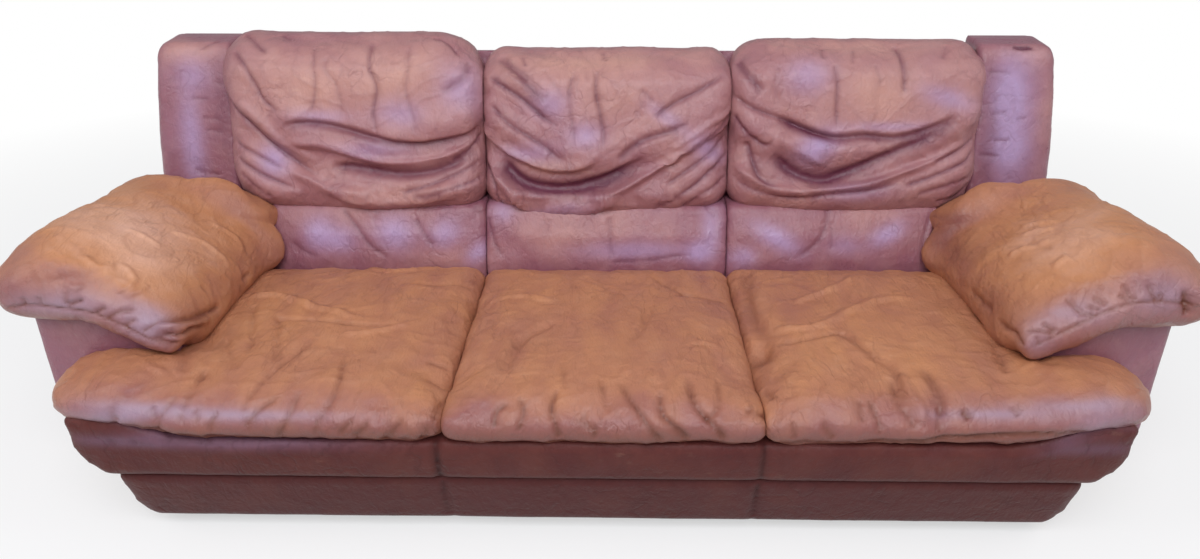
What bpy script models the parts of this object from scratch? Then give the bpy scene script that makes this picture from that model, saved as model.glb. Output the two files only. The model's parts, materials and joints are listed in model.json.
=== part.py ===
"""A worn three-seat leather sofa: timber frame, webbing, cushions, arm pads and kick panel.

Metres, +Z up. The front faces -Y, the width runs along X, and the origin lies on the floor
under the middle of the sofa.
"""

import math
from dataclasses import dataclass
from enum import Enum

import bmesh
import bpy
from mathutils import Vector

# Clearance between neighbours that touch
GAP = 0.0003

# Heights
GLIDE_HEIGHT = 0.0284
DUST_CLOTH = 0.001
PLINTH_HEIGHT = 0.129
RAIL_HEIGHT = 0.1024
SEAT_CROWN_RISE = 0.073
ARM_RISE = 0.105
LUMBAR_RISE = 0.135
PUFF_HEIGHT = 0.385
WING_RISE = 0.415
FRAME_DROP = 0.100
TOP_ROLL_HEIGHT = 0.050

# Depths, front to rear
SEAT_LENGTH = 0.650
LUMBAR_FOOT_DEPTH = 0.105
LUMBAR_CREST_DEPTH = 0.106
PUFF_DEPTH = 0.118
WING_DEPTH = 0.070
BACK_LEAN = math.radians(10.0)
POST_CREST_DEPTH = 0.055
OUTER_BACK_DEPTH = 0.030
ARM_SETBACK = 0.180
RAIL_INSET = 0.006
RAIL_RAKE = 0.016
RAIL_THICKNESS = 0.074
PLINTH_INSET = 0.031
PLINTH_RAKE = 0.042

# Widths, left to right
CENTRE_WIDTH = 0.590
CUSHION_SHIFT = 0.011
ARM_INNER_X = 0.830
ARM_WIDTH = 0.255
PAD_OVERHANG = 0.073
PAD_INNER_HANG = 0.052
PAD_TUCK_WIDTH = 0.012
PAD_CLEARANCE = 0.006
PAD_HANG_GAP = 0.012
PAD_FRONT_RISE = 0.110
PAD_REAR_RISE = 0.090
PAD_ROLL = 0.032
PAD_DROOP = 0.022
PAD_TUCK_RUN = 0.050
PAD_FILL_RUN = 0.140
PAD_GATHER_RUN = 0.070
PAD_NOSE = 0.045
SEAT_EAR = 0.170
RAIL_END_SETBACK = 0.033
RAIL_END_RAKE = 0.050
PLINTH_END_SETBACK = 0.035
PLINTH_END_RAKE = 0.025
PLINTH_PADDING = 0.030
REAR_KICK_RAKE = 0.012
PUFF_OVER_ARM = 0.070
WING_OVER_ARM = 0.015

# Boards, panels and webbing
BOARD = 0.025
PANEL = 0.022
ARM_SWELL = 0.004
POST = 0.045
WEB = 0.003
STRAP = 0.050
SEAT_STRAPS = 3
GLIDE_RADIUS = 0.024
GLIDE_INSET = 0.050

# Soft edges
SEAT_NOSE_RADIUS = 0.055
SEAT_SWELL = 0.022
LUMBAR_SWELL = 0.014
PUFF_SWELL = 0.012
WING_SWELL = 0.010
NOSE_SWELL = 0.010
GATHER_DEPTH = 0.0035
GATHER_PITCH = 0.085
SEAT_SIDE_RADIUS = 0.022
PUFF_EDGE_RADIUS = 0.045
PUFF_CORNER_RADIUS = 0.090
LUMBAR_EDGE_RADIUS = 0.020
WING_RADIUS = 0.035
RAIL_RADIUS = 0.022
PLINTH_RADIUS = 0.020
RETURN_STEP = 0.010
KICK_EDGE = 0.006
LINE_PITCH = 0.004
NOTCH_STEP = 0.006
SEAM_WIDTH = 0.008
SEAM_DEPTH = 0.0035

# Levels worked out from the heights
BASE_Z = GLIDE_HEIGHT + GAP + DUST_CLOTH + GAP
PLINTH_TOP = BASE_Z + PLINTH_HEIGHT
BODY_Z = PLINTH_TOP + GAP
RAIL_TOP = BODY_Z + RAIL_HEIGHT
LIP_Z = RAIL_TOP + GAP
CROSS_TOP = BODY_Z + BOARD
SEAT_WEB_Z = CROSS_TOP + GAP
SEAT_BOTTOM = SEAT_WEB_Z + WEB + GAP
SEAT_CROWN = LIP_Z + SEAT_CROWN_RISE
ARM_TOP = SEAT_CROWN + ARM_RISE
LUMBAR_TOP = SEAT_CROWN + LUMBAR_RISE
PUFF_BOTTOM = LUMBAR_TOP + GAP
PUFF_TOP = PUFF_BOTTOM + PUFF_HEIGHT
FRAME_TOP = PUFF_TOP - FRAME_DROP
WING_TOP = ARM_TOP + GAP + WING_RISE

# Depths worked out from the nose of the seat, which is the front of the sofa
LEAN = math.tan(BACK_LEAN)
FRAME_DEPTH = (
    SEAT_LENGTH
    + GAP
    + LUMBAR_FOOT_DEPTH
    + LEAN * (FRAME_TOP - SEAT_BOTTOM)
    + 3 * GAP
    + WEB
    + POST_CREST_DEPTH
)
DEPTH = FRAME_DEPTH + GAP + OUTER_BACK_DEPTH
NOSE_Y = -DEPTH / 2
FRAME_REAR_Y = NOSE_Y + FRAME_DEPTH
BACK_Y = DEPTH / 2
SEAT_REAR_Y = NOSE_Y + SEAT_LENGTH
BOARD_FRONT_Y = NOSE_Y + RAIL_INSET + RAIL_THICKNESS + GAP
BOARD_REAR_Y = BOARD_FRONT_Y + BOARD
ARM_FRONT_Y = NOSE_Y + ARM_SETBACK
REAR_BOARD_Y = FRAME_REAR_Y - BOARD

# Widths worked out from the splits between the cushions
LEFT_SPLIT = CUSHION_SHIFT - CENTRE_WIDTH / 2
RIGHT_SPLIT = CUSHION_SHIFT + CENTRE_WIDTH / 2
ARM_OUTER_X = ARM_INNER_X + ARM_WIDTH
PAD_TIP_X = ARM_OUTER_X + PAD_OVERHANG
PUFF_END_X = ARM_INNER_X + PUFF_OVER_ARM
WING_END_X = ARM_OUTER_X + WING_OVER_ARM
SEAT_END_X = ARM_INNER_X + SEAT_EAR
RAIL_END_X = SEAT_END_X - RAIL_END_SETBACK
PLINTH_END_X = RAIL_END_X - PLINTH_END_SETBACK
BASE_HALF = PLINTH_END_X - PLINTH_END_RAKE - PLINTH_PADDING - GAP


class Finish(Enum):
    """The finishes of the sofa: base colour, roughness and metallic value."""

    TAN_LEATHER = ((0.42, 0.19, 0.11), 0.42, 0.0)
    MAUVE_LEATHER = ((0.27, 0.12, 0.13), 0.36, 0.0)
    DARK_LEATHER = ((0.12, 0.042, 0.040), 0.40, 0.0)
    PINE = ((0.62, 0.45, 0.27), 0.70, 0.0)
    WEBBING = ((0.16, 0.14, 0.12), 0.85, 0.0)
    DUST_CLOTH = ((0.02, 0.02, 0.02), 0.95, 0.0)
    NYLON = ((0.03, 0.03, 0.03), 0.50, 0.0)


@dataclass(frozen=True)
class Fold:
    """A fold in a cover, as a curve in shares of the face's width and height.

    The curve leaves `start`, is drawn toward `pull` and ends at `end`. A positive `lift` is a
    ridge and a negative one is a valley.
    """

    start: tuple
    pull: tuple
    end: tuple
    reach: float
    lift: float

    def height(self, s, t, width, height):
        """Returns the fold's lift at the point (s, t) of a face of this width and height."""
        steps = 14
        nearest = None
        for k in range(steps + 1):
            q = k / steps
            a = (1 - q) ** 2
            b = 2 * q * (1 - q)
            c = q * q
            dx = (a * self.start[0] + b * self.pull[0] + c * self.end[0] - s) * width
            dz = (a * self.start[1] + b * self.pull[1] + c * self.end[1] - t) * height
            away = math.hypot(dx, dz)
            if nearest is None or away < nearest:
                nearest = away
        return self.lift * math.exp(-((nearest / self.reach) ** 2))


LEFT_PUFF_FOLDS = (
    Fold((0.24, 0.55), (0.58, 0.26), (1.00, 0.60), 0.030, 0.014),
    Fold((0.10, 0.42), (0.55, 0.10), (1.00, 0.42), 0.028, -0.012),
    Fold((0.05, 0.18), (0.55, -0.02), (1.00, 0.14), 0.026, 0.010),
    Fold((0.02, 0.88), (0.12, 0.70), (0.22, 0.52), 0.018, -0.008),
    Fold((0.00, 0.60), (0.12, 0.40), (0.40, 0.12), 0.018, -0.008),
    Fold((0.34, 0.98), (0.34, 0.70), (0.37, 0.45), 0.018, -0.006),
    Fold((0.46, 0.98), (0.46, 0.70), (0.44, 0.45), 0.018, -0.005),
    Fold((0.58, 0.96), (0.58, 0.70), (0.60, 0.45), 0.018, -0.005),
    Fold((1.00, 0.32), (0.90, 0.22), (0.74, 0.20), 0.016, 0.007),
)
CENTRE_PUFF_FOLDS = (
    Fold((0.00, 0.66), (0.45, 0.08), (1.00, 0.76), 0.032, 0.014),
    Fold((0.04, 0.42), (0.45, -0.06), (0.98, 0.48), 0.030, -0.013),
    Fold((0.00, 0.16), (0.42, -0.06), (1.00, 0.14), 0.026, 0.010),
    Fold((0.34, 0.97), (0.35, 0.70), (0.37, 0.45), 0.018, -0.006),
    Fold((0.48, 0.95), (0.48, 0.70), (0.46, 0.42), 0.018, -0.006),
    Fold((0.00, 0.84), (0.14, 0.64), (0.28, 0.42), 0.018, -0.008),
    Fold((1.00, 0.60), (0.88, 0.46), (0.72, 0.36), 0.016, 0.008),
    Fold((1.00, 0.36), (0.88, 0.28), (0.74, 0.22), 0.016, 0.007),
)
RIGHT_PUFF_FOLDS = (
    Fold((0.00, 0.58), (0.48, 0.18), (0.94, 0.60), 0.030, 0.014),
    Fold((0.00, 0.40), (0.46, 0.08), (0.96, 0.44), 0.028, -0.012),
    Fold((0.04, 0.18), (0.45, -0.05), (0.98, 0.34), 0.026, 0.010),
    Fold((0.17, 0.94), (0.17, 0.70), (0.19, 0.48), 0.018, -0.005),
    Fold((0.39, 0.95), (0.39, 0.70), (0.41, 0.44), 0.018, -0.006),
    Fold((0.59, 0.95), (0.59, 0.70), (0.58, 0.44), 0.018, -0.005),
    Fold((0.67, 0.92), (0.67, 0.70), (0.66, 0.50), 0.018, -0.005),
    Fold((0.98, 0.24), (0.90, 0.18), (0.80, 0.20), 0.016, 0.007),
)
LEFT_SEAT_FOLDS = (
    Fold((0.30, 0.05), (0.50, 0.40), (0.66, 0.86), 0.030, -0.006),
    Fold((0.62, 0.04), (0.80, 0.30), (0.92, 0.60), 0.026, 0.005),
    Fold((0.50, 0.95), (0.70, 0.80), (0.96, 0.88), 0.030, 0.005),
    Fold((0.86, 0.02), (0.90, 0.20), (0.97, 0.42), 0.022, -0.005),
)
CENTRE_SEAT_FOLDS = (
    Fold((0.12, 0.02), (0.20, 0.30), (0.12, 0.62), 0.028, 0.005),
    Fold((0.36, 0.04), (0.40, 0.30), (0.30, 0.52), 0.026, -0.006),
    Fold((0.62, 0.02), (0.64, 0.34), (0.76, 0.70), 0.028, 0.005),
    Fold((0.86, 0.02), (0.84, 0.24), (0.92, 0.46), 0.024, -0.006),
    Fold((0.20, 0.90), (0.50, 0.78), (0.84, 0.92), 0.030, 0.004),
)
RIGHT_SEAT_FOLDS = (
    Fold((0.02, 0.30), (0.05, 0.42), (0.06, 0.54), 0.030, -0.016),
    Fold((0.16, 0.03), (0.14, 0.30), (0.26, 0.60), 0.028, 0.006),
    Fold((0.34, 0.03), (0.30, 0.24), (0.22, 0.44), 0.024, -0.005),
    Fold((0.50, 0.04), (0.46, 0.34), (0.56, 0.70), 0.030, 0.004),
    Fold((0.30, 0.92), (0.50, 0.80), (0.74, 0.90), 0.030, 0.005),
)


def clear_scene():
    """Removes every object and material that the file opened with."""
    for item in list(bpy.data.objects):
        bpy.data.objects.remove(item, do_unlink=True)
    for item in list(bpy.data.materials):
        bpy.data.materials.remove(item)


def finished(name, bm, finish, smooth=True):
    """Makes a named object with its own material from a bmesh."""
    bmesh.ops.recalc_face_normals(bm, faces=bm.faces[:])
    mesh = bpy.data.meshes.new(name)
    bm.to_mesh(mesh)
    bm.free()
    part = bpy.data.objects.new(name, mesh)
    bpy.context.scene.collection.objects.link(part)
    material = bpy.data.materials.new(name)
    material.use_nodes = True
    colour, roughness, metallic = finish.value
    shader = material.node_tree.nodes["Principled BSDF"]
    shader.inputs["Base Color"].default_value = (*colour, 1.0)
    shader.inputs["Roughness"].default_value = roughness
    shader.inputs["Metallic"].default_value = metallic
    mesh.materials.append(material)
    if smooth:
        mesh.shade_smooth()
        mesh.set_sharp_from_angle(angle=math.radians(40))
    return part


def back_y(z):
    """Returns the Y of the leaning plane that the back cushions rest against, at a height."""
    return SEAT_REAR_Y + GAP + LUMBAR_FOOT_DEPTH + LEAN * (z - SEAT_BOTTOM)


def post_y(z):
    """Returns the Y of the front edge of the back posts at a height."""
    return back_y(z) + GAP + WEB + GAP


PAD_NOSE_Y = ARM_FRONT_Y - PAD_NOSE
PAD_TUCK_Y = SEAT_REAR_Y - PAD_TUCK_WIDTH
PAD_REAR_Y = back_y(ARM_TOP) - WING_DEPTH - PAD_TUCK_WIDTH


def lerp(a, b, share):
    """Returns the value a share of the way from a to b."""
    return a + (b - a) * share


def smooth_step(low, high, value):
    """Returns 0 below low, 1 above high and an S curve between them."""
    share = min(max((value - low) / (high - low), 0.0), 1.0)
    return share * share * (3 - 2 * share)


def board(name, low, high, finish=Finish.PINE):
    """Makes a square-edged board between two corners."""
    bm = bmesh.new()
    bmesh.ops.create_cube(bm, size=1.0)
    for vert in bm.verts:
        for axis in range(3):
            vert.co[axis] = lerp(low[axis], high[axis], vert.co[axis] + 0.5)
    return finished(name, bm, finish, smooth=False)


def grid_lines(length, low_radius, high_radius, spans, extra=()):
    """Returns where the grid lines of a soft box cross one of its sides.

    Two lines fall in each rounded edge, at even angles, and the rest divide what is between.

    Args:
        length: The length of the side.
        low_radius: The radius of the edge at its start.
        high_radius: The radius of the edge at its end.
        spans: How many spans the part between the radii is divided into.
        extra: Further places for lines.

    Returns:
        The places between 0 and the length, in order, without the two ends.
    """
    arc = 1 - math.tan(math.radians(22.5))
    places = {low_radius * arc, length - high_radius * arc}
    for k in range(spans + 1):
        places.add(lerp(low_radius, length - high_radius, k / spans))
    kept = [place for place in extra if 0 < place < length]
    for place in sorted(places):
        inside = 1e-4 < place < length - 1e-4
        if inside and all(abs(place - other) > LINE_PITCH for other in kept):
            kept.append(place)
    return sorted(kept)


def soft_box(size, lines):
    """Makes the closed surface of a box, cut along grid lines, with its corner at the origin."""
    bm = bmesh.new()
    bmesh.ops.create_cube(bm, size=1.0)
    for vert in bm.verts:
        vert.co = Vector(size[axis] * (vert.co[axis] + 0.5) for axis in range(3))
    for axis in range(3):
        normal = Vector(float(k == axis) for k in range(3))
        for place in lines[axis]:
            geometry = bm.verts[:] + bm.edges[:] + bm.faces[:]
            bmesh.ops.bisect_plane(
                bm, geom=geometry, dist=1e-6, plane_co=normal * place, plane_no=normal
            )
    return bm


def round_off(point, size, low, high):
    """Rounds a point of a box's surface to the box's edge radii.

    Args:
        point: The point on the box whose corner is at the origin.
        size: The box's three sides.
        low: The radius at the start of each side, 0 for a flat contact face.
        high: The radius at the end of each side.

    Returns:
        The rounded point and the outward direction there, a zero vector on contact faces.
    """
    core = point.copy()
    away = Vector((0.0, 0.0, 0.0))
    share = Vector((0.0, 0.0, 0.0))
    for axis in range(3):
        if low[axis] > 0 and point[axis] < low[axis]:
            core[axis] = low[axis]
            away[axis] = point[axis] - low[axis]
            share[axis] = away[axis] / low[axis]
        if high[axis] > 0 and point[axis] > size[axis] - high[axis]:
            core[axis] = size[axis] - high[axis]
            away[axis] = point[axis] - core[axis]
            share[axis] = away[axis] / high[axis]
    if share.length == 0:
        return point.copy(), share
    steepest = max(abs(value) for value in share)
    return core + away * (steepest / share.length), share.normalized()


def flatten_face(bm, axis, value):
    """Joins the faces that lie in one plane into a single face."""
    flat = [
        face
        for face in bm.faces
        if all(abs(vert.co[axis] - value) < 1e-6 for vert in face.verts)
    ]
    if len(flat) > 1:
        bmesh.ops.dissolve_faces(bm, faces=flat)


def glides():
    """Makes the six round glides that the sofa stands on."""
    glide_x = BASE_HALF - GLIDE_INSET
    front_y = BOARD_FRONT_Y + GLIDE_INSET
    rear_y = FRAME_REAR_Y - GLIDE_INSET
    places = {
        "glide_front_left": (-glide_x, front_y),
        "glide_front_centre": (CUSHION_SHIFT, front_y),
        "glide_front_right": (glide_x, front_y),
        "glide_rear_left": (-glide_x, rear_y),
        "glide_rear_centre": (CUSHION_SHIFT, rear_y),
        "glide_rear_right": (glide_x, rear_y),
    }
    for name, (x, y) in places.items():
        bm = bmesh.new()
        bmesh.ops.create_cone(
            bm,
            cap_ends=True,
            segments=14,
            radius1=GLIDE_RADIUS,
            radius2=GLIDE_RADIUS * 0.8,
            depth=GLIDE_HEIGHT,
        )
        bmesh.ops.translate(bm, verts=bm.verts[:], vec=(x, y, GLIDE_HEIGHT / 2))
        finished(name, bm, Finish.NYLON)


def base_frame():
    """Makes the timber base, the dust cloth under it and the cleat that holds the webbing."""
    inner = BASE_HALF - BOARD - GAP
    board(
        "dust_cloth",
        (-BASE_HALF, BOARD_FRONT_Y, GLIDE_HEIGHT + GAP),
        (BASE_HALF, FRAME_REAR_Y, GLIDE_HEIGHT + GAP + DUST_CLOTH),
        Finish.DUST_CLOTH,
    )
    board(
        "front_board",
        (-BASE_HALF, BOARD_FRONT_Y, BASE_Z),
        (BASE_HALF, BOARD_REAR_Y, RAIL_TOP),
    )
    board(
        "rear_board",
        (-BASE_HALF, REAR_BOARD_Y, BASE_Z),
        (BASE_HALF, FRAME_REAR_Y, PLINTH_TOP),
    )
    for side, name in ((-1, "left"), (1, "right")):
        edges = sorted((side * (inner + GAP), side * BASE_HALF))
        board(
            f"side_board_{name}",
            (edges[0], BOARD_REAR_Y + GAP, BASE_Z),
            (edges[1], REAR_BOARD_Y - GAP, PLINTH_TOP),
        )
    board(
        "seat_cleat",
        (-BASE_HALF, BOARD_REAR_Y + GAP, CROSS_TOP - BOARD),
        (BASE_HALF, BOARD_REAR_Y + GAP + BOARD, CROSS_TOP),
    )
    for name, split in (("left", LEFT_SPLIT), ("right", RIGHT_SPLIT)):
        board(
            f"cross_board_{name}",
            (split - BOARD / 2, BOARD_REAR_Y + BOARD + 2 * GAP, BASE_Z),
            (split + BOARD / 2, REAR_BOARD_Y - GAP, CROSS_TOP),
        )


def webbing(name, low, high, place):
    """Makes a panel of crossed straps, one solid with square gaps.

    Args:
        name: The node's name.
        low: The start of the panel on its two sides.
        high: The end of the panel on its two sides.
        place: A function from a point of the flat panel and its thickness to a position.
    """
    cells = 2 * SEAT_STRAPS - 1
    bm = bmesh.new()
    bmesh.ops.create_grid(bm, x_segments=cells, y_segments=cells, size=0.5)
    hollow = []
    for face in bm.faces:
        middle = face.calc_center_median()
        column = round((middle.x + 0.5) * cells - 0.5)
        row = round((middle.y + 0.5) * cells - 0.5)
        if column % 2 and row % 2:
            hollow.append(face)
    bmesh.ops.delete(bm, geom=hollow, context="FACES")
    for vert in bm.verts:
        for axis in range(2):
            line = round((vert.co[axis] + 0.5) * cells)
            pitch = (high[axis] - low[axis] - STRAP) / (SEAT_STRAPS - 1)
            vert.co[axis] = low[axis] + (line // 2) * pitch + (line % 2) * STRAP
    grown = bmesh.ops.extrude_face_region(bm, geom=bm.faces[:])
    for item in grown["geom"]:
        if isinstance(item, bmesh.types.BMVert):
            item.co.z = WEB
    for vert in bm.verts:
        vert.co = place(vert.co.x, vert.co.y, vert.co.z)
    finished(name, bm, Finish.WEBBING, smooth=False)


def webbing_panels():
    """Makes the three webbing panels under the seats and the three behind the back cushions."""
    spans = {
        "left": (-ARM_INNER_X + GAP, LEFT_SPLIT - GAP),
        "centre": (LEFT_SPLIT + GAP, RIGHT_SPLIT - GAP),
        "right": (RIGHT_SPLIT + GAP, ARM_INNER_X - GAP),
    }
    rear = back_y(SEAT_BOTTOM) - BOARD
    for name, (low, high) in spans.items():
        webbing(
            f"seat_webbing_{name}",
            (low, BOARD_REAR_Y + GAP),
            (high, rear),
            lambda x, y, up: Vector((x, y, SEAT_WEB_Z + up)),
        )
        webbing(
            f"back_webbing_{name}",
            (low, SEAT_BOTTOM + BOARD),
            (high, FRAME_TOP - GAP),
            lambda x, z, back: Vector((x, back_y(z) + GAP + back, z)),
        )


def leaning_board(name, x_low, x_high, z_low, z_high, rear):
    """Makes a board whose front edge follows the leaning back and whose rear is upright."""
    bm = bmesh.new()
    bmesh.ops.create_cube(bm, size=1.0)
    for vert in bm.verts:
        z = lerp(z_low, z_high, vert.co.z + 0.5)
        y = rear if vert.co.y > 0 else post_y(z)
        vert.co = Vector((lerp(x_low, x_high, vert.co.x + 0.5), y, z))
    finished(name, bm, Finish.PINE, smooth=False)


def back_frame():
    """Makes the posts and the top rail that carry the back."""
    rear = FRAME_REAR_Y
    post_top = FRAME_TOP - BOARD - GAP
    outer = BASE_HALF - BOARD
    leaning_board("back_post_left", -BASE_HALF, -outer, CROSS_TOP + GAP, post_top, rear)
    leaning_board("back_post_right", outer, BASE_HALF, CROSS_TOP + GAP, post_top, rear)
    for name, split in (("left", LEFT_SPLIT), ("right", RIGHT_SPLIT)):
        leaning_board(
            f"back_middle_post_{name}",
            split - BOARD / 2,
            split + BOARD / 2,
            CROSS_TOP + GAP,
            post_top,
            REAR_BOARD_Y - GAP,
        )
    leaning_board("back_top_rail", -BASE_HALF, BASE_HALF, FRAME_TOP - BOARD, FRAME_TOP, rear)


def arms():
    """Makes the boards, posts and leather panels of both arms."""
    post_front = ARM_FRONT_Y + PANEL + GAP
    top_z = ARM_TOP - BOARD
    inner = ARM_INNER_X + PANEL + GAP
    outer = ARM_OUTER_X - PANEL - GAP
    for side, name in ((-1, "left"), (1, "right")):

        def across(low, high, side=side):
            return sorted((side * low, side * high))

        def piece(label, x_low, x_high, low, high, finish=Finish.PINE, name=name, across=across):
            left, right = across(x_low, x_high)
            board(f"{label}_{name}", (left, *low), (right, *high), finish)

        piece(
            "arm_bottom_board",
            ARM_INNER_X - BOARD,
            outer,
            (post_front, BODY_Z),
            (FRAME_REAR_Y, CROSS_TOP),
        )
        piece(
            "arm_top_board",
            inner,
            outer,
            (post_front, top_z),
            (post_y(top_z) - GAP, ARM_TOP),
        )
        post_x = (inner + outer) / 2
        piece(
            "arm_front_post",
            post_x - POST / 2,
            post_x + POST / 2,
            (post_front, CROSS_TOP + GAP),
            (post_front + POST, top_z - GAP),
        )
        piece(
            "wing_board",
            PUFF_END_X + GAP,
            outer,
            (FRAME_REAR_Y - BOARD, ARM_TOP + GAP),
            (FRAME_REAR_Y, WING_TOP - 2 * WING_RADIUS),
        )
        piece(
            "arm_inner_panel",
            ARM_INNER_X,
            ARM_INNER_X + PANEL,
            (post_front, CROSS_TOP + GAP),
            (post_y(CROSS_TOP) - GAP, ARM_TOP),
            Finish.MAUVE_LEATHER,
        )
        arm_front_panel(f"arm_front_panel_{name}", side)
        arm_outer_panel(f"arm_outer_panel_{name}", side)


def arm_front_panel(name, side):
    """Makes the leather front of an arm, with a soft outer edge."""
    size = (ARM_WIDTH, PANEL - ARM_SWELL, ARM_TOP - BODY_Z)
    soft = PANEL * 0.7
    lines = (
        grid_lines(size[0], 0, soft, 5),
        grid_lines(size[1], soft, 0, 1),
        grid_lines(size[2], soft, 0, 3),
    )
    bm = soft_box(size, lines)
    for vert in bm.verts:
        point, out = round_off(vert.co, size, (0, soft, soft), (soft, 0, 0))
        swell = ARM_SWELL * max(-out.y, 0) * math.sin(math.pi * point.x / size[0])
        y = ARM_FRONT_Y + ARM_SWELL + point.y - swell
        vert.co = Vector((side * (ARM_INNER_X + point.x), y, BODY_Z + point.z))
    finished(name, bm, Finish.MAUVE_LEATHER)


def arm_outer_panel(name, side):
    """Makes the leather side of an arm, with soft edges at the front and below."""
    front = ARM_FRONT_Y + PANEL + GAP
    size = (PANEL, FRAME_REAR_Y - front, ARM_TOP - BODY_Z)
    soft = PANEL * 0.8
    lines = (
        grid_lines(size[0], 0, soft, 1),
        grid_lines(size[1], 0, 0, 4),
        grid_lines(size[2], soft, 0, 3),
    )
    bm = soft_box(size, lines)
    for vert in bm.verts:
        point, _ = round_off(vert.co, size, (0, 0, soft), (soft, 0, 0))
        vert.co = Vector((side * (ARM_OUTER_X - PANEL + point.x), front + point.y, BODY_Z + point.z))
    finished(name, bm, Finish.MAUVE_LEATHER)


def seam_dip(x, strength=1.0):
    """Returns how far the cover is drawn in at the upright seams below the cushion splits."""
    dip = 0.0
    for split in (LEFT_SPLIT, RIGHT_SPLIT):
        dip += SEAM_DEPTH * math.exp(-(((x - split) / SEAM_WIDTH) ** 2))
    return dip * strength


def band(name, half_top, half_rake, front_top, front_rake, z_low, z_high, rear, radius, bulge):
    """Makes a padded band across the front, drawn in at two seams and raked toward its foot.

    Args:
        name: The node's name.
        half_top: Half of its width at the top.
        half_rake: How much each end draws in at the foot.
        front_top: The Y of its face at the top.
        front_rake: How far the face draws back at the foot.
        z_low: Its foot.
        z_high: Its top.
        rear: A function from X to the Y of its rear.
        radius: The radius of its edges.
        bulge: How far the face swells between foot and top.
    """
    size = (2 * half_top, 1.0, z_high - z_low)
    end = 3 * radius
    seams = []
    for split in (LEFT_SPLIT, RIGHT_SPLIT):
        seams += [half_top + split - SEAM_WIDTH, half_top + split, half_top + split + SEAM_WIDTH]
    seams += [half_top - BASE_HALF - RETURN_STEP, half_top + BASE_HALF + RETURN_STEP]
    seams += [half_top - BASE_HALF, half_top + BASE_HALF]
    lines = (
        grid_lines(size[0], end, end, 12, seams),
        [],
        grid_lines(size[2], radius, radius, 2),
    )
    bm = soft_box(size, lines)
    for vert in bm.verts:
        share = vert.co.z / size[2]
        front = vert.co.y < 0.5
        flat = Vector((vert.co.x, 0.0 if front else radius, vert.co.z))
        point, out = round_off(
            flat, (size[0], radius, size[2]), (end, radius, radius), (end, 0, radius)
        )
        straight = BASE_HALF + RETURN_STEP
        x = (point.x if front else vert.co.x) - half_top
        beyond = max(abs(x) - straight, 0) / (half_top - straight)
        if front:
            y = front_top + front_rake * (1 - share) + point.y
            y -= bulge * math.sin(math.pi * share) * max(-out.y, 0)
            y += seam_dip(x) * max(-out.y, 0)
        else:
            y = rear(x)
        x -= math.copysign(half_rake * (1 - share) * beyond, x)
        z = z_low + (point.z if front else vert.co.z)
        vert.co = Vector((x, y, z))
    return finished(name, bm, Finish.DARK_LEATHER)


def rail_and_kick_panel():
    """Makes the padded front rail and the kick panel below it."""

    def rail_rear(x):
        beyond = abs(x) > BASE_HALF + GAP
        return ARM_FRONT_Y - GAP if beyond else BOARD_FRONT_Y - GAP

    band(
        "front_rail_pad",
        RAIL_END_X,
        RAIL_END_RAKE,
        NOSE_Y + RAIL_INSET,
        RAIL_RAKE,
        BODY_Z,
        RAIL_TOP,
        rail_rear,
        RAIL_RADIUS,
        0.004,
    )
    band(
        "kick_panel_front",
        PLINTH_END_X,
        PLINTH_END_RAKE,
        NOSE_Y + PLINTH_INSET,
        PLINTH_RAKE,
        BASE_Z,
        PLINTH_TOP,
        lambda x: BOARD_FRONT_Y - GAP,
        PLINTH_RADIUS,
        0.002,
    )


def kick_panel(name, low, high, rake, outward):
    """Makes a flat kick panel whose outer face draws in toward its foot.

    Args:
        name: The node's name.
        low: The corner with the lowest values.
        high: The corner with the highest values.
        rake: How far the outer face draws in at the foot.
        outward: The outward direction, a unit vector along X or Y.
    """
    bm = bmesh.new()
    bmesh.ops.create_cube(bm, size=1.0)
    for vert in bm.verts:
        outer = vert.co.dot(outward) > 0
        foot = vert.co.z < 0
        for axis in range(3):
            vert.co[axis] = lerp(low[axis], high[axis], vert.co[axis] + 0.5)
        if outer and foot:
            vert.co -= outward * rake
    bm.normal_update()
    outer_face = max(bm.faces, key=lambda face: face.normal.dot(outward))
    rims = [edge for edge in outer_face.edges if abs(edge.verts[0].co.z - edge.verts[1].co.z) < 1e-6]
    bmesh.ops.bevel(bm, geom=rims, offset=KICK_EDGE, segments=2, affect="EDGES", profile=0.5)
    finished(name, bm, Finish.DARK_LEATHER)


def hidden_kick_panels():
    """Makes the kick panels along both sides and the rear of the base."""
    for side, name in ((-1, "left"), (1, "right")):
        edges = sorted((side * (BASE_HALF + GAP), side * PLINTH_END_X))
        kick_panel(
            f"kick_panel_{name}",
            (edges[0], BOARD_FRONT_Y, BASE_Z),
            (edges[1], FRAME_REAR_Y, PLINTH_TOP),
            PLINTH_END_RAKE,
            Vector((side, 0.0, 0.0)),
        )
    kick_panel(
        "kick_panel_rear",
        (-PLINTH_END_X + PLINTH_END_RAKE, FRAME_REAR_Y + GAP, BASE_Z),
        (PLINTH_END_X - PLINTH_END_RAKE, BACK_Y, PLINTH_TOP),
        REAR_KICK_RAKE,
        Vector((0.0, 1.0, 0.0)),
    )


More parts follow.
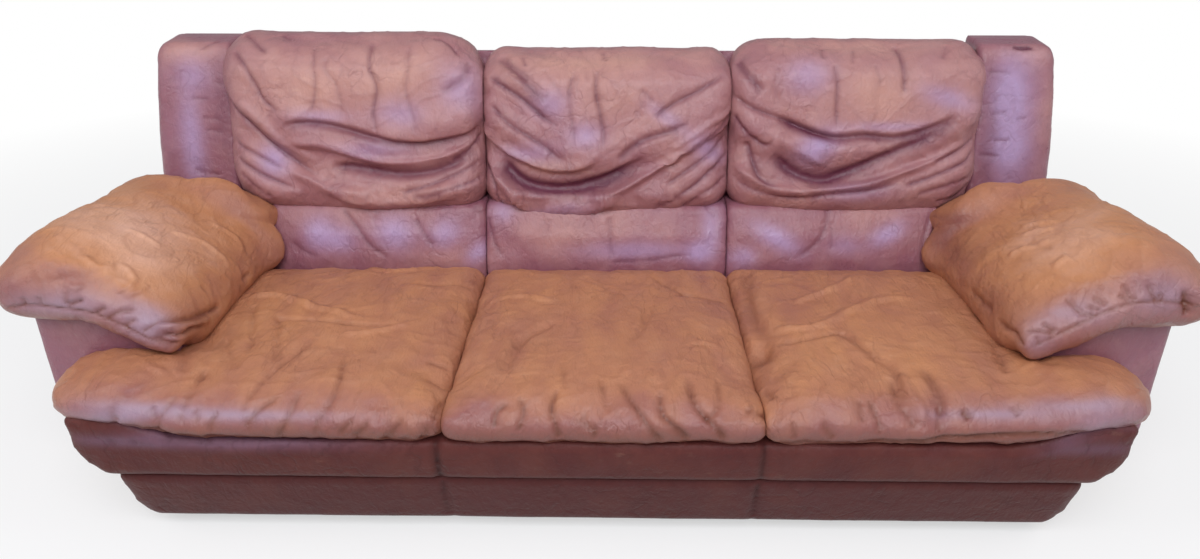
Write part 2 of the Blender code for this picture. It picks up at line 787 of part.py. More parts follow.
def seat_cushion(name, x_low, x_high, folds, ear=0):
    """Makes a seat cushion: a crowned box with a rolled nose and gathers above its front seam.

    Args:
        name: The node's name.
        x_low: Its left side.
        x_high: Its right side.
        folds: The long folds of its top.
        ear: -1 or 1 where the cushion also runs in front of the arm on that side.
    """
    low_radius = SEAT_NOSE_RADIUS if ear < 0 else SEAT_SIDE_RADIUS
    high_radius = SEAT_NOSE_RADIUS if ear > 0 else SEAT_SIDE_RADIUS
    edge_height = SEAT_CROWN - SEAT_BOTTOM - SEAT_SWELL
    size = (x_high - x_low, SEAT_LENGTH, edge_height)
    lip = LIP_Z - SEAT_BOTTOM
    step = BOARD_REAR_Y + GAP - NOSE_Y
    ear_x = ARM_INNER_X - GAP
    ear_lines = []
    if ear:
        ear_start = ear * ear_x - x_low
        ear_lines = [ear_start, ear_start - ear * NOTCH_STEP]
    lines = (
        grid_lines(size[0], low_radius, high_radius, 17, ear_lines),
        grid_lines(size[1], SEAT_NOSE_RADIUS, 0.025, 7, (step, step + NOTCH_STEP)),
        [edge_height - SEAT_NOSE_RADIUS, edge_height - SEAT_NOSE_RADIUS * 0.45],
    )
    bm = soft_box(size, lines)
    low = (low_radius, SEAT_NOSE_RADIUS, 0)
    high = (high_radius, 0.025, SEAT_NOSE_RADIUS)
    for vert in bm.verts:
        start = vert.co.copy()
        s = start.x / size[0]
        t = start.y / size[1]
        rise = start.z / size[2]
        point, out = round_off(start, size, low, high)
        over_rail = start.y < step + NOTCH_STEP / 2
        over_return = abs(x_low + start.x) > ear_x - NOTCH_STEP / 2
        floor = lip if over_rail or over_return else 0.0
        z = floor + (point.z / size[2]) * (size[2] - floor)
        crown = (1 - abs(2 * s - 1) ** 3) * (1 - abs(2 * t - 0.9) ** 3 * 0.8)
        z += SEAT_SWELL * 0.9 * max(crown, 0) * rise ** 2
        y = point.y
        lift = sum(fold.height(s, t, size[0], size[1]) for fold in folds)
        gather = GATHER_DEPTH * math.cos(2 * math.pi * start.x / GATHER_PITCH + 2 * math.sin(9 * s))
        near_nose = math.exp(-((start.y / 0.10) ** 2))
        gather *= near_nose * math.sin(math.pi * min(max(s, 0), 1))
        z += (lift + gather) * max(out.z, 0) * rise
        nose = math.sin(math.pi * min(rise / 0.9, 1.0))
        swell = (NOSE_SWELL - GATHER_DEPTH) * nose + gather
        y += NOSE_SWELL * (1 - t) - swell * max(-out.y, 0)
        vert.co = Vector((x_low + point.x, NOSE_Y + y, SEAT_BOTTOM + z))
    flatten_face(bm, 2, SEAT_BOTTOM)
    cushion = finished(name, bm, Finish.TAN_LEATHER)
    if ear:
        notch_low, notch_high = sorted((ear * ear_x, ear * 2 * SEAT_END_X))
        cut_box(
            cushion,
            (notch_low, ARM_FRONT_Y - GAP, -1.0),
            (notch_high, SEAT_REAR_Y + 1.0, 1.0),
        )


def cut_box(part, low, high):
    """Cuts the box between two corners out of a piece."""
    cutter = board(f"{part.name}_cutter", low, high)
    cutter.hide_render = True
    cutter.display_type = "WIRE"
    cut = part.modifiers.new("Notch", "BOOLEAN")
    cut.operation = "DIFFERENCE"
    cut.solver = "EXACT"
    cut.object = cutter


def seats():
    """Makes the three seat cushions."""
    seat_cushion("seat_cushion_left", -SEAT_END_X, LEFT_SPLIT - GAP / 2, LEFT_SEAT_FOLDS, -1)
    seat_cushion(
        "seat_cushion_centre", LEFT_SPLIT + GAP / 2, RIGHT_SPLIT - GAP / 2, CENTRE_SEAT_FOLDS
    )
    seat_cushion("seat_cushion_right", RIGHT_SPLIT + GAP / 2, SEAT_END_X, RIGHT_SEAT_FOLDS, 1)


def lumbar_pad(name, x_low, x_high):
    """Makes the low pad between a seat and its back cushion."""
    radius = LUMBAR_EDGE_RADIUS
    size = (x_high - x_low, LUMBAR_FOOT_DEPTH, LUMBAR_TOP - SEAT_BOTTOM)
    crease = SEAT_CROWN - SEAT_BOTTOM
    lines = (
        grid_lines(size[0], radius, radius, 7),
        [],
        grid_lines(size[2], 0, radius, 5, (crease,)),
    )
    bm = soft_box(size, lines)
    for vert in bm.verts:
        start = vert.co.copy()
        point, out = round_off(start, size, (radius, radius, 0), (radius, 0, radius))
        z = SEAT_BOTTOM + start.z
        above = max(start.z - crease, 0) / (size[2] - crease)
        rear = back_y(z)
        crest_front = back_y(LUMBAR_TOP) - LUMBAR_CREST_DEPTH
        front = lerp(SEAT_REAR_Y + GAP, crest_front, above)
        fullness = 1 - abs(2 * start.x / size[0] - 1) ** 4
        swell = LUMBAR_SWELL * math.sin(math.pi * above) * fullness
        if start.y < size[1] / 2:
            y = front + point.y - swell * max(-out.y, 0)
            x = point.x
        else:
            y = rear
            x = start.x
        vert.co = Vector((x_low + x, y, SEAT_BOTTOM + (point.z if start.y < 0.01 else start.z)))
    finished(name, bm, Finish.MAUVE_LEATHER)


def puff(name, x_low, x_high, folds, outer=0):
    """Makes a tall back cushion with its draped folds.

    Args:
        name: The node's name.
        x_low: Its left side.
        x_high: Its right side.
        folds: The folds of its face.
        outer: -1 or 1 where that side is the outer one, with a rounder lower corner.
    """
    size = (x_high - x_low, PUFF_DEPTH, PUFF_HEIGHT)
    edge = PUFF_EDGE_RADIUS
    lines = (
        grid_lines(size[0], edge, edge, 15),
        grid_lines(size[1], edge, edge, 1),
        grid_lines(size[2], edge, edge, 12),
    )
    bm = soft_box(size, lines)
    for vert in bm.verts:
        start = vert.co.copy()
        s = start.x / size[0]
        t = start.z / size[2]
        front = 1 - start.y / size[1]
        point, out = round_off(start, size, (edge, edge, edge), (edge, 0, edge))
        fullness = (1 - abs(2 * s - 1) ** 4) * (1 - abs(2 * t - 0.9) ** 4)
        lift = sum(fold.height(s, t, size[0], size[2]) for fold in folds)
        depth = PUFF_SWELL * max(fullness, 0) + lift
        y = point.y - depth * max(-out.y, 0)
        x = x_low + point.x
        z = point.z
        if outer:
            side = s if outer > 0 else 1 - s
            inward = (1 - side) * size[0]
            corner = PUFF_CORNER_RADIUS
            if inward < corner and z < corner:
                reach = math.hypot(corner - inward, corner - z)
                square = max(corner - inward, corner - z)
                squeeze = square / reach if reach > 0 else 1.0
                x_corner = (x_high - corner) if outer > 0 else (x_low + corner)
                x = x_corner + (x - x_corner) * squeeze
                z = corner + (z - corner) * squeeze
        top_taper = 0.045 * smooth_step(0.80, 1.0, t) * front
        height = PUFF_BOTTOM + z
        vert.co = Vector((x, back_y(height) - GAP - size[1] + y + top_taper, height))
    finished(name, bm, Finish.MAUVE_LEATHER)


def back_cushions():
    """Makes the three tall back cushions and the three lumbar pads below them."""
    half_gap = GAP / 2
    puff("back_cushion_left", -PUFF_END_X, LEFT_SPLIT - half_gap, LEFT_PUFF_FOLDS, -1)
    puff(
        "back_cushion_centre",
        LEFT_SPLIT + half_gap,
        RIGHT_SPLIT - half_gap,
        CENTRE_PUFF_FOLDS,
    )
    puff("back_cushion_right", RIGHT_SPLIT + half_gap, PUFF_END_X, RIGHT_PUFF_FOLDS, 1)
    inner = ARM_INNER_X - PAD_TUCK_WIDTH - GAP
    lumbar_pad("lumbar_pad_left", -inner, LEFT_SPLIT - half_gap)
    lumbar_pad("lumbar_pad_centre", LEFT_SPLIT + half_gap, RIGHT_SPLIT - half_gap)
    lumbar_pad("lumbar_pad_right", RIGHT_SPLIT + half_gap, inner)


def wing(name, side):
    """Makes the padded wing that closes the back beside an outer back cushion."""
    rear = REAR_BOARD_Y - GAP
    size = (WING_END_X - PUFF_END_X - GAP, 1.0, WING_RISE)
    radius = WING_RADIUS
    lines = (
        grid_lines(size[0], 0, radius, 3),
        [],
        grid_lines(size[2], 0, radius, 5),
    )
    bm = soft_box(size, lines)
    for vert in bm.verts:
        start = vert.co.copy()
        front = start.y < 0.5
        flat = Vector((start.x, 0.0 if front else radius, start.z))
        point, out = round_off(
            flat, (size[0], radius, size[2]), (0, radius, 0), (radius, 0, radius)
        )
        share = start.z / size[2]
        x = PUFF_END_X + GAP + point.x * (1 - 0.10 * share * share)
        z = ARM_TOP + GAP + point.z
        swell = WING_SWELL * math.sin(math.pi * share) * max(-out.y, 0)
        y = back_y(z) - WING_DEPTH + point.y - swell if front else rear
        vert.co = Vector((side * x, y, z))
    finished(name, bm, Finish.MAUVE_LEATHER)


def outer_back():
    """Makes the leather panel that closes the rear and the roll above the top rail."""
    radius = OUTER_BACK_DEPTH * 0.6
    size = (2 * WING_END_X, OUTER_BACK_DEPTH, WING_TOP - 2 * WING_RADIUS - BODY_Z)
    lines = (
        grid_lines(size[0], radius, radius, 4),
        grid_lines(size[1], 0, radius, 1),
        grid_lines(size[2], radius, radius, 3),
    )
    bm = soft_box(size, lines)
    for vert in bm.verts:
        point, _ = round_off(vert.co, size, (radius, 0, radius), (radius, radius, radius))
        x = (point.x / size[0] * 2 - 1) * ARM_OUTER_X
        vert.co = Vector((x, FRAME_REAR_Y + GAP + point.y, BODY_Z + point.z))
    flatten_face(bm, 1, FRAME_REAR_Y + GAP)
    finished("outer_back_panel", bm, Finish.DARK_LEATHER)

    end = PUFF_END_X - GAP
    radius = TOP_ROLL_HEIGHT * 0.4
    size = (2 * end, radius, TOP_ROLL_HEIGHT)
    lines = (grid_lines(size[0], 0, 0, 6), [], grid_lines(size[2], 0, radius, 2))
    bm = soft_box(size, lines)
    for vert in bm.verts:
        rear = vert.co.y > radius / 2
        point, _ = round_off(vert.co, size, (0, 0, 0), (0, radius, radius))
        z = FRAME_TOP + GAP + point.z
        y = FRAME_REAR_Y - radius + point.y if rear else post_y(z)
        vert.co = Vector((point.x - end, y, z))
    finished("back_top_roll", bm, Finish.DARK_LEATHER)


def puff_corner_z(x):
    """Returns the height of the underside of an outer back cushion, rounded at its corner."""
    inside = x - (PUFF_END_X - PUFF_CORNER_RADIUS)
    if inside <= 0:
        return PUFF_BOTTOM
    if inside >= PUFF_CORNER_RADIUS:
        return PUFF_TOP
    drop = math.sqrt(PUFF_CORNER_RADIUS**2 - inside**2)
    return PUFF_BOTTOM + PUFF_CORNER_RADIUS - drop


def pad_section(y, share, in_front):
    """Returns one closed section of an arm pad, as distances from the middle and heights.

    The underside rests on the arm, its inner side hangs beside the arm to the seat, and its
    outer side overhangs the arm.

    Args:
        y: Where the section lies.
        share: How full the section is, from 0 at the ends to 1.
        in_front: True before the arm's front panel, where the underside slopes to the seat.

    Returns:
        The points of the section, from the inner foot over the crown to the outer lip.
    """
    arcs = 22
    under = ARM_TOP + GAP
    tucked = smooth_step(PAD_TUCK_Y - PAD_TUCK_RUN, PAD_TUCK_Y, y)
    inner_tip = ARM_INNER_X - lerp(PAD_INNER_HANG, PAD_TUCK_WIDTH, tucked)
    hang_x = ARM_INNER_X - GAP
    hang_z = lerp(SEAT_CROWN + PAD_HANG_GAP, under - PAD_TUCK_WIDTH, tucked)
    crown_rise = lerp(PAD_FRONT_RISE, PAD_REAR_RISE, smooth_step(PAD_NOSE_Y, PAD_REAR_Y, y)) * share
    points = []
    for k in range(arcs + 1):
        angle = math.pi * k / arcs
        across = lerp(inner_tip, PAD_TIP_X, (1 - math.cos(angle)) / 2)
        ridge = math.sin(angle) ** 0.75
        inner_z = hang_z + lerp(PAD_ROLL, PAD_TUCK_WIDTH, tucked)
        side_z = lerp(inner_z, under + PAD_ROLL, smooth_step(inner_tip, ARM_OUTER_X, across))
        z = side_z + crown_rise * ridge
        z = min(z, lerp(z, puff_corner_z(across) - PAD_CLEARANCE, tucked))
        points.append((across, z))
    points.append((lerp(ARM_OUTER_X, PAD_TIP_X, 0.7), under))
    if in_front:
        points.append((ARM_OUTER_X + GAP, under - PAD_DROOP * 0.3))
        points.append((lerp(ARM_INNER_X, ARM_OUTER_X, 0.45), under - PAD_DROOP))
        points.append((hang_x, hang_z + PAD_TUCK_WIDTH / 2))
        points.append((lerp(inner_tip, hang_x, 0.4), hang_z))
    else:
        points.append((ARM_OUTER_X + GAP, under))
        points.append((lerp(ARM_INNER_X, ARM_OUTER_X, 0.45), under))
        points.append((hang_x, under))
        points.append((lerp(inner_tip, hang_x, 0.9), hang_z))
    return points


def arm_pad(name, side):
    """Makes an arm pad, lofted from the front seam to the wing, gathered at the front."""
    stations = [lerp(PAD_NOSE_Y, ARM_FRONT_Y, share) for share in (0, 0.12, 0.42, 0.93)]
    rest = 9
    for k in range(rest + 1):
        stations.append(lerp(ARM_FRONT_Y - GAP, PAD_TUCK_Y - PAD_TUCK_RUN, k / rest))
    stations += [PAD_TUCK_Y, lerp(PAD_TUCK_Y, PAD_REAR_Y, 0.7), PAD_REAR_Y]
    bm = bmesh.new()
    rings = []
    for y in stations:
        from_front = y - PAD_NOSE_Y
        fill = lerp(0.42, 1.0, math.sqrt(min(from_front / PAD_FILL_RUN, 1.0)))
        fill *= 1 - 0.25 * smooth_step(PAD_REAR_Y - PAD_TUCK_RUN, PAD_REAR_Y, y)
        gathered = math.exp(-((from_front / PAD_GATHER_RUN) ** 2))
        ring = []
        section = pad_section(y, fill, y < ARM_FRONT_Y - GAP * 1.5)
        for number, (across, z) in enumerate(section):
            if 2 <= number <= 20:
                z += GATHER_DEPTH * gathered * (1 if number % 2 else -1)
            ring.append(bm.verts.new((side * across, y, z)))
        rings.append(ring)
    for near, far in zip(rings, rings[1:]):
        count = len(near)
        for k in range(count):
            after = (k + 1) % count
            bm.faces.new((near[k], near[after], far[after], far[k]))
    bm.faces.new(rings[0])
    bm.faces.new(rings[-1])
    finished(name, bm, Finish.TAN_LEATHER)


def main():
    """Builds the sofa."""
    clear_scene()
    glides()
    base_frame()
    webbing_panels()
    back_frame()
    arms()
    rail_and_kick_panel()
    hidden_kick_panels()
    seats()
    back_cushions()
    for side, name in ((-1, "left"), (1, "right")):
        wing(f"back_wing_{name}", side)
        arm_pad(f"arm_pad_{name}", side)
    outer_back()


main()
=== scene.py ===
"""A worn three-seat leather sofa: its cushions, pads and finishes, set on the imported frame."""

import json
import logging
import math
from dataclasses import dataclass, replace
from enum import Enum
from typing import Any, Sequence

import bmesh
import bpy
import numpy as np
from mathutils import Euler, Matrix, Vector, noise
from mathutils.bvhtree import BVHTree

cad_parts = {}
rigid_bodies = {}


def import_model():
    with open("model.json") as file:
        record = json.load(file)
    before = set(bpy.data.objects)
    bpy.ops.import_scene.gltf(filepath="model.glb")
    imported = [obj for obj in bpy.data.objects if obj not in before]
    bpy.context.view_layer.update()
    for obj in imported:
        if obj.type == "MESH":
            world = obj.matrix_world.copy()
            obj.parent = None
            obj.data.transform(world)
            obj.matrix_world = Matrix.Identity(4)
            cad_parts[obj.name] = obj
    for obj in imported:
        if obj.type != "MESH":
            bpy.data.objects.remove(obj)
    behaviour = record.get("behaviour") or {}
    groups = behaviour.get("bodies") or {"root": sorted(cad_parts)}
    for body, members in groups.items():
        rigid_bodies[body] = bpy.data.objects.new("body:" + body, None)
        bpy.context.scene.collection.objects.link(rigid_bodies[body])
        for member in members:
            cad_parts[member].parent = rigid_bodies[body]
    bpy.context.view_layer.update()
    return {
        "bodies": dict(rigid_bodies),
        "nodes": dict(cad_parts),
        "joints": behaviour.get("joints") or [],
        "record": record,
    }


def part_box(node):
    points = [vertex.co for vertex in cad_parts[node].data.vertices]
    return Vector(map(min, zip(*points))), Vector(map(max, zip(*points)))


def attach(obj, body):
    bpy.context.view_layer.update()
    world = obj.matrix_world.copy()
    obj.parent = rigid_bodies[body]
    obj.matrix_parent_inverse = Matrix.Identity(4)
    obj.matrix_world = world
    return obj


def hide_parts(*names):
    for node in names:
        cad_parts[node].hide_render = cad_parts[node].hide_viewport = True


LOG = logging.getLogger("sofa")

OUTER_X = 0.85
ARC_CELLS = 10
PAD_CELLS = 18
MERGE = 1e-5
FILL_FRAMES = 20
EAR_BAND = (0.72, 0.90)
EAR_DEPTH = (-0.30, -0.22)
PHOTO_WIDTH = 1200
PHOTO_HEIGHT = 559
SEARCH_REACH = 30
SEARCH_STEPS = 12

Colour = tuple[float, float, float]
Point = tuple[float, float, float]
Spot = tuple[float, ...]


class Channel(Enum):
    """What a patch of a cover changes: a vertex attribute, or the height of the surface."""

    WORN = "worn"
    # Painted shade: darkness laid into the colour in folds, hollows and under the seat's nose.
    PAINTED_SHADE = "deep"
    # Painted sheen: the lilac reflection of the glossy leather, laid into its colour.
    PAINTED_SHEEN = "bloom"
    RISE = "rise"


class Edge(Enum):
    """The cross-section of a fold, by the power of its falloff."""

    ROLL = 2.0
    CREASE = 1.15


class Signal:
    """A socket of a shader tree, with the operators of arithmetic."""

    def __init__(self, tree: "ShaderTree", socket: bpy.types.NodeSocket) -> None:
        """Keeps the tree and the socket."""
        self.tree = tree
        self.socket = socket

    def combine(self, operation: str, first: Any, second: Any = 0.0) -> "Signal":
        """Adds a Math node.

        Args:
            operation: The Math node's operation.
            first: Its first value, a number or a signal.
            second: Its second value, a number or a signal.

        Returns:
            The node's result.
        """
        return self.tree.add("ShaderNodeMath", {"operation": operation}, {0: first, 1: second})

    def __add__(self, other: Any) -> "Signal":
        """Returns self + other."""
        return self.combine("ADD", self, other)

    def __radd__(self, other: Any) -> "Signal":
        """Returns other + self."""
        return self.combine("ADD", other, self)

    def __sub__(self, other: Any) -> "Signal":
        """Returns self - other."""
        return self.combine("SUBTRACT", self, other)

    def __rsub__(self, other: Any) -> "Signal":
        """Returns other - self."""
        return self.combine("SUBTRACT", other, self)

    def __mul__(self, other: Any) -> "Signal":
        """Returns self * other."""
        return self.combine("MULTIPLY", self, other)

    def __rmul__(self, other: Any) -> "Signal":
        """Returns other * self."""
        return self.combine("MULTIPLY", other, self)

    def clamped(self, low: float = 0.0, high: float = 1.0) -> "Signal":
        """Returns the signal held between two values."""
        return self.combine("MINIMUM", self.combine("MAXIMUM", self, low), high)


class ShaderTree:
    """The node tree of one material."""

    def __init__(self, name: str) -> None:
        """Makes an empty material of this name."""
        self.material = bpy.data.materials.new(name)
        self.material.use_nodes = True
        self.nodes = self.material.node_tree.nodes
        self.links = self.material.node_tree.links
        self.nodes.clear()

    def add(
        self,
        kind: str,
        settings: dict[str, Any] | None = None,
        inputs: dict[str | int, Any] | None = None,
        output: str | int = 0,
    ) -> Signal:
        """Adds a node.

        Args:
            kind: The node's type.
            settings: Its settings, and a ramp's stops as position and grey value or colour.
            inputs: The value or signal of each socket that differs from its default.
            output: The socket that is returned.

        Returns:
            The chosen output of the new node.
        """
        node = self.nodes.new(kind)
        for name, value in (settings or {}).items():
            if name == "stops":
                self._set_stops(node.color_ramp, value)
            else:
                setattr(node, name, value)
        for name, value in (inputs or {}).items():
            socket = node.inputs[name]
            if isinstance(value, Signal):
                self.links.new(value.socket, socket)
            elif socket.type == "RGBA" and len(value) == 3:
                socket.default_value = (*value, 1.0)
            else:
                socket.default_value = value
        return Signal(self, node.outputs[output] if node.outputs else None)

    @staticmethod
    def _set_stops(ramp: bpy.types.ColorRamp, stops: Sequence[tuple[float, float]]) -> None:
        """Sets a ramp's stops from pairs of position and grey value."""
        while len(ramp.elements) < len(stops):
            ramp.elements.new(1.0)
        for element, (position, grey) in zip(ramp.elements, stops):
            element.position = position
            element.color = (grey, grey, grey, 1.0)

    def coordinates(self) -> Signal:
        """Returns the object coordinates."""
        return self.add("ShaderNodeTexCoord", output="Object")

    def attribute(self, name: str) -> Signal:
        """Returns a number attribute of the mesh."""
        return self.add("ShaderNodeAttribute", {"attribute_name": name}, output="Fac")

    def stretched(self, scale: tuple[float, float, float], turn: float = 0.0) -> Signal:
        """Returns object coordinates, scaled along each axis and turned about Z."""
        return self.add(
            "ShaderNodeMapping",
            inputs={"Vector": self.coordinates(), "Scale": scale, "Rotation": (0, 0, turn)},
        )

    def cloud(
        self, vector: Signal, scale: float, detail: float = 3.0, rough: float = 0.55, warp: float = 0.0
    ) -> Signal:
        """Returns fractal noise from 0 to 1."""
        return self.add(
            "ShaderNodeTexNoise",
            inputs={
                "Vector": vector,
                "Scale": scale,
                "Detail": detail,
                "Roughness": rough,
                "Distortion": warp,
            },
        )

    def ramp(self, signal: Signal, *stops: tuple[float, float]) -> Signal:
        """Returns a signal, put through a ramp of grey stops."""
        return self.add("ShaderNodeValToRGB", {"stops": stops}, {"Fac": signal})

    def blend(self, share: Any, first: Any, second: Any, mode: str = "MIX") -> Signal:
        """Returns a mix of two colours."""
        settings = {"data_type": "RGBA", "blend_type": mode, "clamp_factor": True}
        return self.add("ShaderNodeMix", settings, {0: share, 6: first, 7: second}, 2)

    def bump(self, height: Signal, distance: float, strength: float, under: Signal | None = None) -> Signal:
        """Returns a normal, raised by a height in metres over the normal under it."""
        inputs: dict[str | int, Any] = {"Height": height, "Distance": distance, "Strength": strength}
        if under is not None:
            inputs["Normal"] = under
        return self.add("ShaderNodeBump", inputs=inputs)

    def finish(self, inputs: dict[str | int, Any]) -> bpy.types.Material:
        """Adds the surface shader and the output, and returns the material."""
        surface = self.add("ShaderNodeBsdfPrincipled", inputs=inputs)
        self.add("ShaderNodeOutputMaterial", inputs={"Surface": surface})
        return self.material


@dataclass(frozen=True)
class Leather:
    """Smooth upholstery leather, rubbed to tan where used, with painted shade in folds and a painted sheen.
    """

    name: str
    fresh: Colour
    rubbed: Colour
    shaded: Colour
    # The colour of the painted sheen.
    sheen_colour: Colour
    gloss: float = 0.31
    shine: float = 0.55
    grain: float = 0.5
    bleached: Colour = (0.78, 0.44, 0.31)
    pull: Point = (16.0, 16.0, 16.0)

    def material(self) -> bpy.types.Material:
        """Builds the material and returns it."""
        tree = ShaderTree(self.name)
        place = tree.coordinates()
        broad = tree.cloud(place, 4.5, 2.0, 0.5)
        patchy = tree.cloud(place, 16.0, 5.0, 0.62, 0.4)
        fine = tree.cloud(place, 95.0, 4.0, 0.6)
        worn = tree.attribute("worn") + (broad - 0.5) * 0.5 + (patchy - 0.5) * 0.7
        # Painted shade from the folds, hollows and lower fronts, read from the deep attribute.
        deep = (tree.attribute("deep") + (patchy - 0.5) * 0.12).clamped()
        bloom = (tree.attribute("bloom") + (patchy - 0.5) * 0.3).clamped()
        scratches = tree.cloud(tree.stretched((30, 120, 60), 0.7), 1.0, 4.0, 0.6)
        scuffs = tree.ramp(scratches, (0.62, 0), (0.74, 1))
        base = tree.blend(worn.clamped(), self.fresh, self.rubbed)
        base = tree.blend((worn - 1.0).clamped(), base, self.bleached)
        # Painted sheen: the lilac reflection of the glossy leather, mixed into the base colour.
        base = tree.blend(bloom, base, self.sheen_colour)
        wander = tree.cloud(tree.stretched(self.pull, 0.5), 1.0, 3.0, 0.5, 0.3)
        # Fine creases, sunk by the bump and darkened with painted shade.
        shaded_crease = tree.ramp(wander, (0.455, 0.0), (0.50, 1.0)) - tree.ramp(wander, (0.50, 0.0), (0.545, 1.0))
        shaded_crease = shaded_crease.clamped() * tree.ramp(tree.cloud(place, 7.0, 2.0), (0.42, 0.0), (0.58, 1.0))
        # Painted shade in the folds and fine creases darkens the colour towards the shaded colour.
        base = tree.blend((deep + shaded_crease * 0.16).clamped(), base, self.shaded)
        light = tree.blend((fine - 0.4) * 0.5, base, (0.80, 0.62, 0.50), "SOFT_LIGHT")
        base = tree.blend(scuffs * worn.clamped() * 0.22, light, (0.62, 0.40, 0.28))
        rough = self.gloss + (fine - 0.5) * 0.16 + worn.clamped() * 0.10 + (patchy - 0.5) * 0.14
        cells = tree.add(
            "ShaderNodeTexVoronoi", {"feature": "DISTANCE_TO_EDGE"}, {"Vector": place, "Scale": 620.0}
        )
        pebbles = tree.ramp(cells, (0.0, 0.0), (0.16, 1.0))
        creases = tree.add(
            "ShaderNodeTexVoronoi",
            {"feature": "DISTANCE_TO_EDGE"},
            {"Vector": self._wavy(tree, place), "Scale": 52.0},
        )
        lines = tree.ramp(creases, (0.0, 0.0), (0.09, 1.0))
        crumple = tree.cloud(place, 38.0, 4.0, 0.55, 0.8)
        pulls = tree.cloud(tree.stretched((70, 26, 34), 0.5), 1.0, 3.0, 0.5, 1.2)
        normal = tree.bump(crumple, 0.0040, 0.55)
        normal = tree.bump(pulls, 0.0040, 0.45, normal)
        normal = tree.bump(1.0 - shaded_crease, 0.0014, 0.5, normal)
        normal = tree.bump(lines, 0.0006, 0.30 * self.grain + 0.1, normal)
        normal = tree.bump(pebbles, 0.00022, self.grain, normal)
        return tree.finish(
            {
                "Base Color": base,
                "Roughness": rough.clamped(0.2, 0.9),
                "Specular IOR Level": self.shine,
                "Normal": normal,
            }
        )

    @staticmethod
    def _wavy(tree: ShaderTree, place: Signal) -> Signal:
        """Returns coordinates that are pushed about by noise, so that cell edges wander."""
        push = tree.add("ShaderNodeTexNoise", inputs={"Vector": place, "Scale": 26.0}, output=1)
        push = tree.add("ShaderNodeVectorMath", {"operation": "SCALE"}, {0: push, "Scale": 0.02})
        return tree.add("ShaderNodeVectorMath", {"operation": "ADD"}, {0: place, 1: push})


@dataclass(frozen=True)
class Timber:
    """Sawn pine."""

    name: str = "sawn_pine"
    pale: Colour = (0.66, 0.47, 0.27)
    dark: Colour = (0.42, 0.25, 0.12)

    def material(self) -> bpy.types.Material:
        """Builds the material and returns it."""
        tree = ShaderTree(self.name)
        grain = tree.cloud(tree.stretched((2.0, 60.0, 60.0)), 1.0, 6.0, 0.6, 0.6)
        bands = tree.ramp(grain, (0.35, 0.0), (0.62, 1.0))
        base = tree.blend(bands, self.pale, self.dark)
        normal = tree.bump(grain, 0.0006, 0.5)
        rough = 0.72 + (grain - 0.5) * 0.2
        return tree.finish({"Base Color": base, "Roughness": rough, "Normal": normal})


@dataclass(frozen=True)
class Woven:
    """A woven cloth or strap: threads along two axes."""

    name: str
    pale: Colour
    dark: Colour
    pitch: float

    def material(self) -> bpy.types.Material:
        """Builds the material and returns it."""
        tree = ShaderTree(self.name)
        place = tree.coordinates()
        threads = None
        for direction in ("X", "Y", "Z"):
            wave = tree.add(
                "ShaderNodeTexWave",
                {"bands_direction": direction},
                {"Vector": place, "Scale": 0.314 / self.pitch, "Distortion": 0.6, "Detail": 1.0},
                "Fac",
            )
            threads = wave if threads is None else threads + wave
        threads = (threads * 0.34).clamped()
        dust = tree.cloud(place, 9.0, 4.0)
        base = tree.blend(threads, self.dark, self.pale)
        base = tree.blend((dust - 0.5) * 0.6, base, (0.30, 0.27, 0.23))
        normal = tree.bump(threads, 0.0005, 0.6)
        return tree.finish({"Base Color": base, "Roughness": 0.9, "Normal": normal})


@dataclass(frozen=True)
class Plastic:
    """Moulded plastic, scratched by the floor."""

    name: str
    colour: Colour

    def material(self) -> bpy.types.Material:
        """Builds the material and returns it."""
        tree = ShaderTree(self.name)
        place = tree.coordinates()
        scratches = tree.cloud(tree.stretched((400, 60, 60)), 1.0, 3.0)
        dust = tree.cloud(place, 60.0, 4.0)
        base = tree.blend((dust - 0.45) * 0.8, self.colour, (0.20, 0.18, 0.16))
        rough = 0.45 + (scratches - 0.5) * 0.4
        normal = tree.bump(scratches, 0.0002, 0.5)
        return tree.finish({"Base Color": base, "Roughness": rough, "Normal": normal})


MAUVE = Leather(
    "mauve_leather", (0.29, 0.112, 0.150), (0.50, 0.255, 0.225), (0.130, 0.030, 0.058), (0.43, 0.29, 0.49)
)
TAN = Leather(
    "tan_leather",
    (0.29, 0.105, 0.095),
    (0.54, 0.235, 0.110),
    (0.17, 0.050, 0.030),
    (0.36, 0.25, 0.34),
    gloss=0.37,
    pull=(24.0, 9.0, 20.0),
)
# A darker copy of the leather for the rail, the kick and the other panels; under the seats its dark is
# painted shade.
DARK = Leather(
    "dark_leather",
    (0.100, 0.026, 0.025),
    (0.17, 0.055, 0.040),
    (0.034, 0.008, 0.008),
    (0.17, 0.085, 0.12),
    gloss=0.40,
    grain=0.4,
    shine=0.14,
)


class Region(Enum):
    """An enlarged region of the photograph, in which strokes are drawn.

    It holds the region's left and top pixel in the photograph's frame of 1200 by 559, and its scale.
    """

    WHOLE = (0, 0, 1)
    BACK_LEFT = (150, 15, 4.48)
    BACK_CENTRE = (470, 30, 5.407)
    BACK_RIGHT = (710, 20, 4.48)
    SEATS_LEFT = (150, 250, 3.336)
    SEATS_RIGHT = (580, 250, 3.267)
    ARM_LEFT = (0, 220, 4.7515)
    ARM_RIGHT = (870, 220, 4.7515)

    def pixel(self, spot: Spot) -> tuple[float, float]:
        """Returns a spot of the region as a pixel of the photograph's frame."""
        left, top, scale = self.value
        return left + spot[0] / scale, top + spot[1] / scale


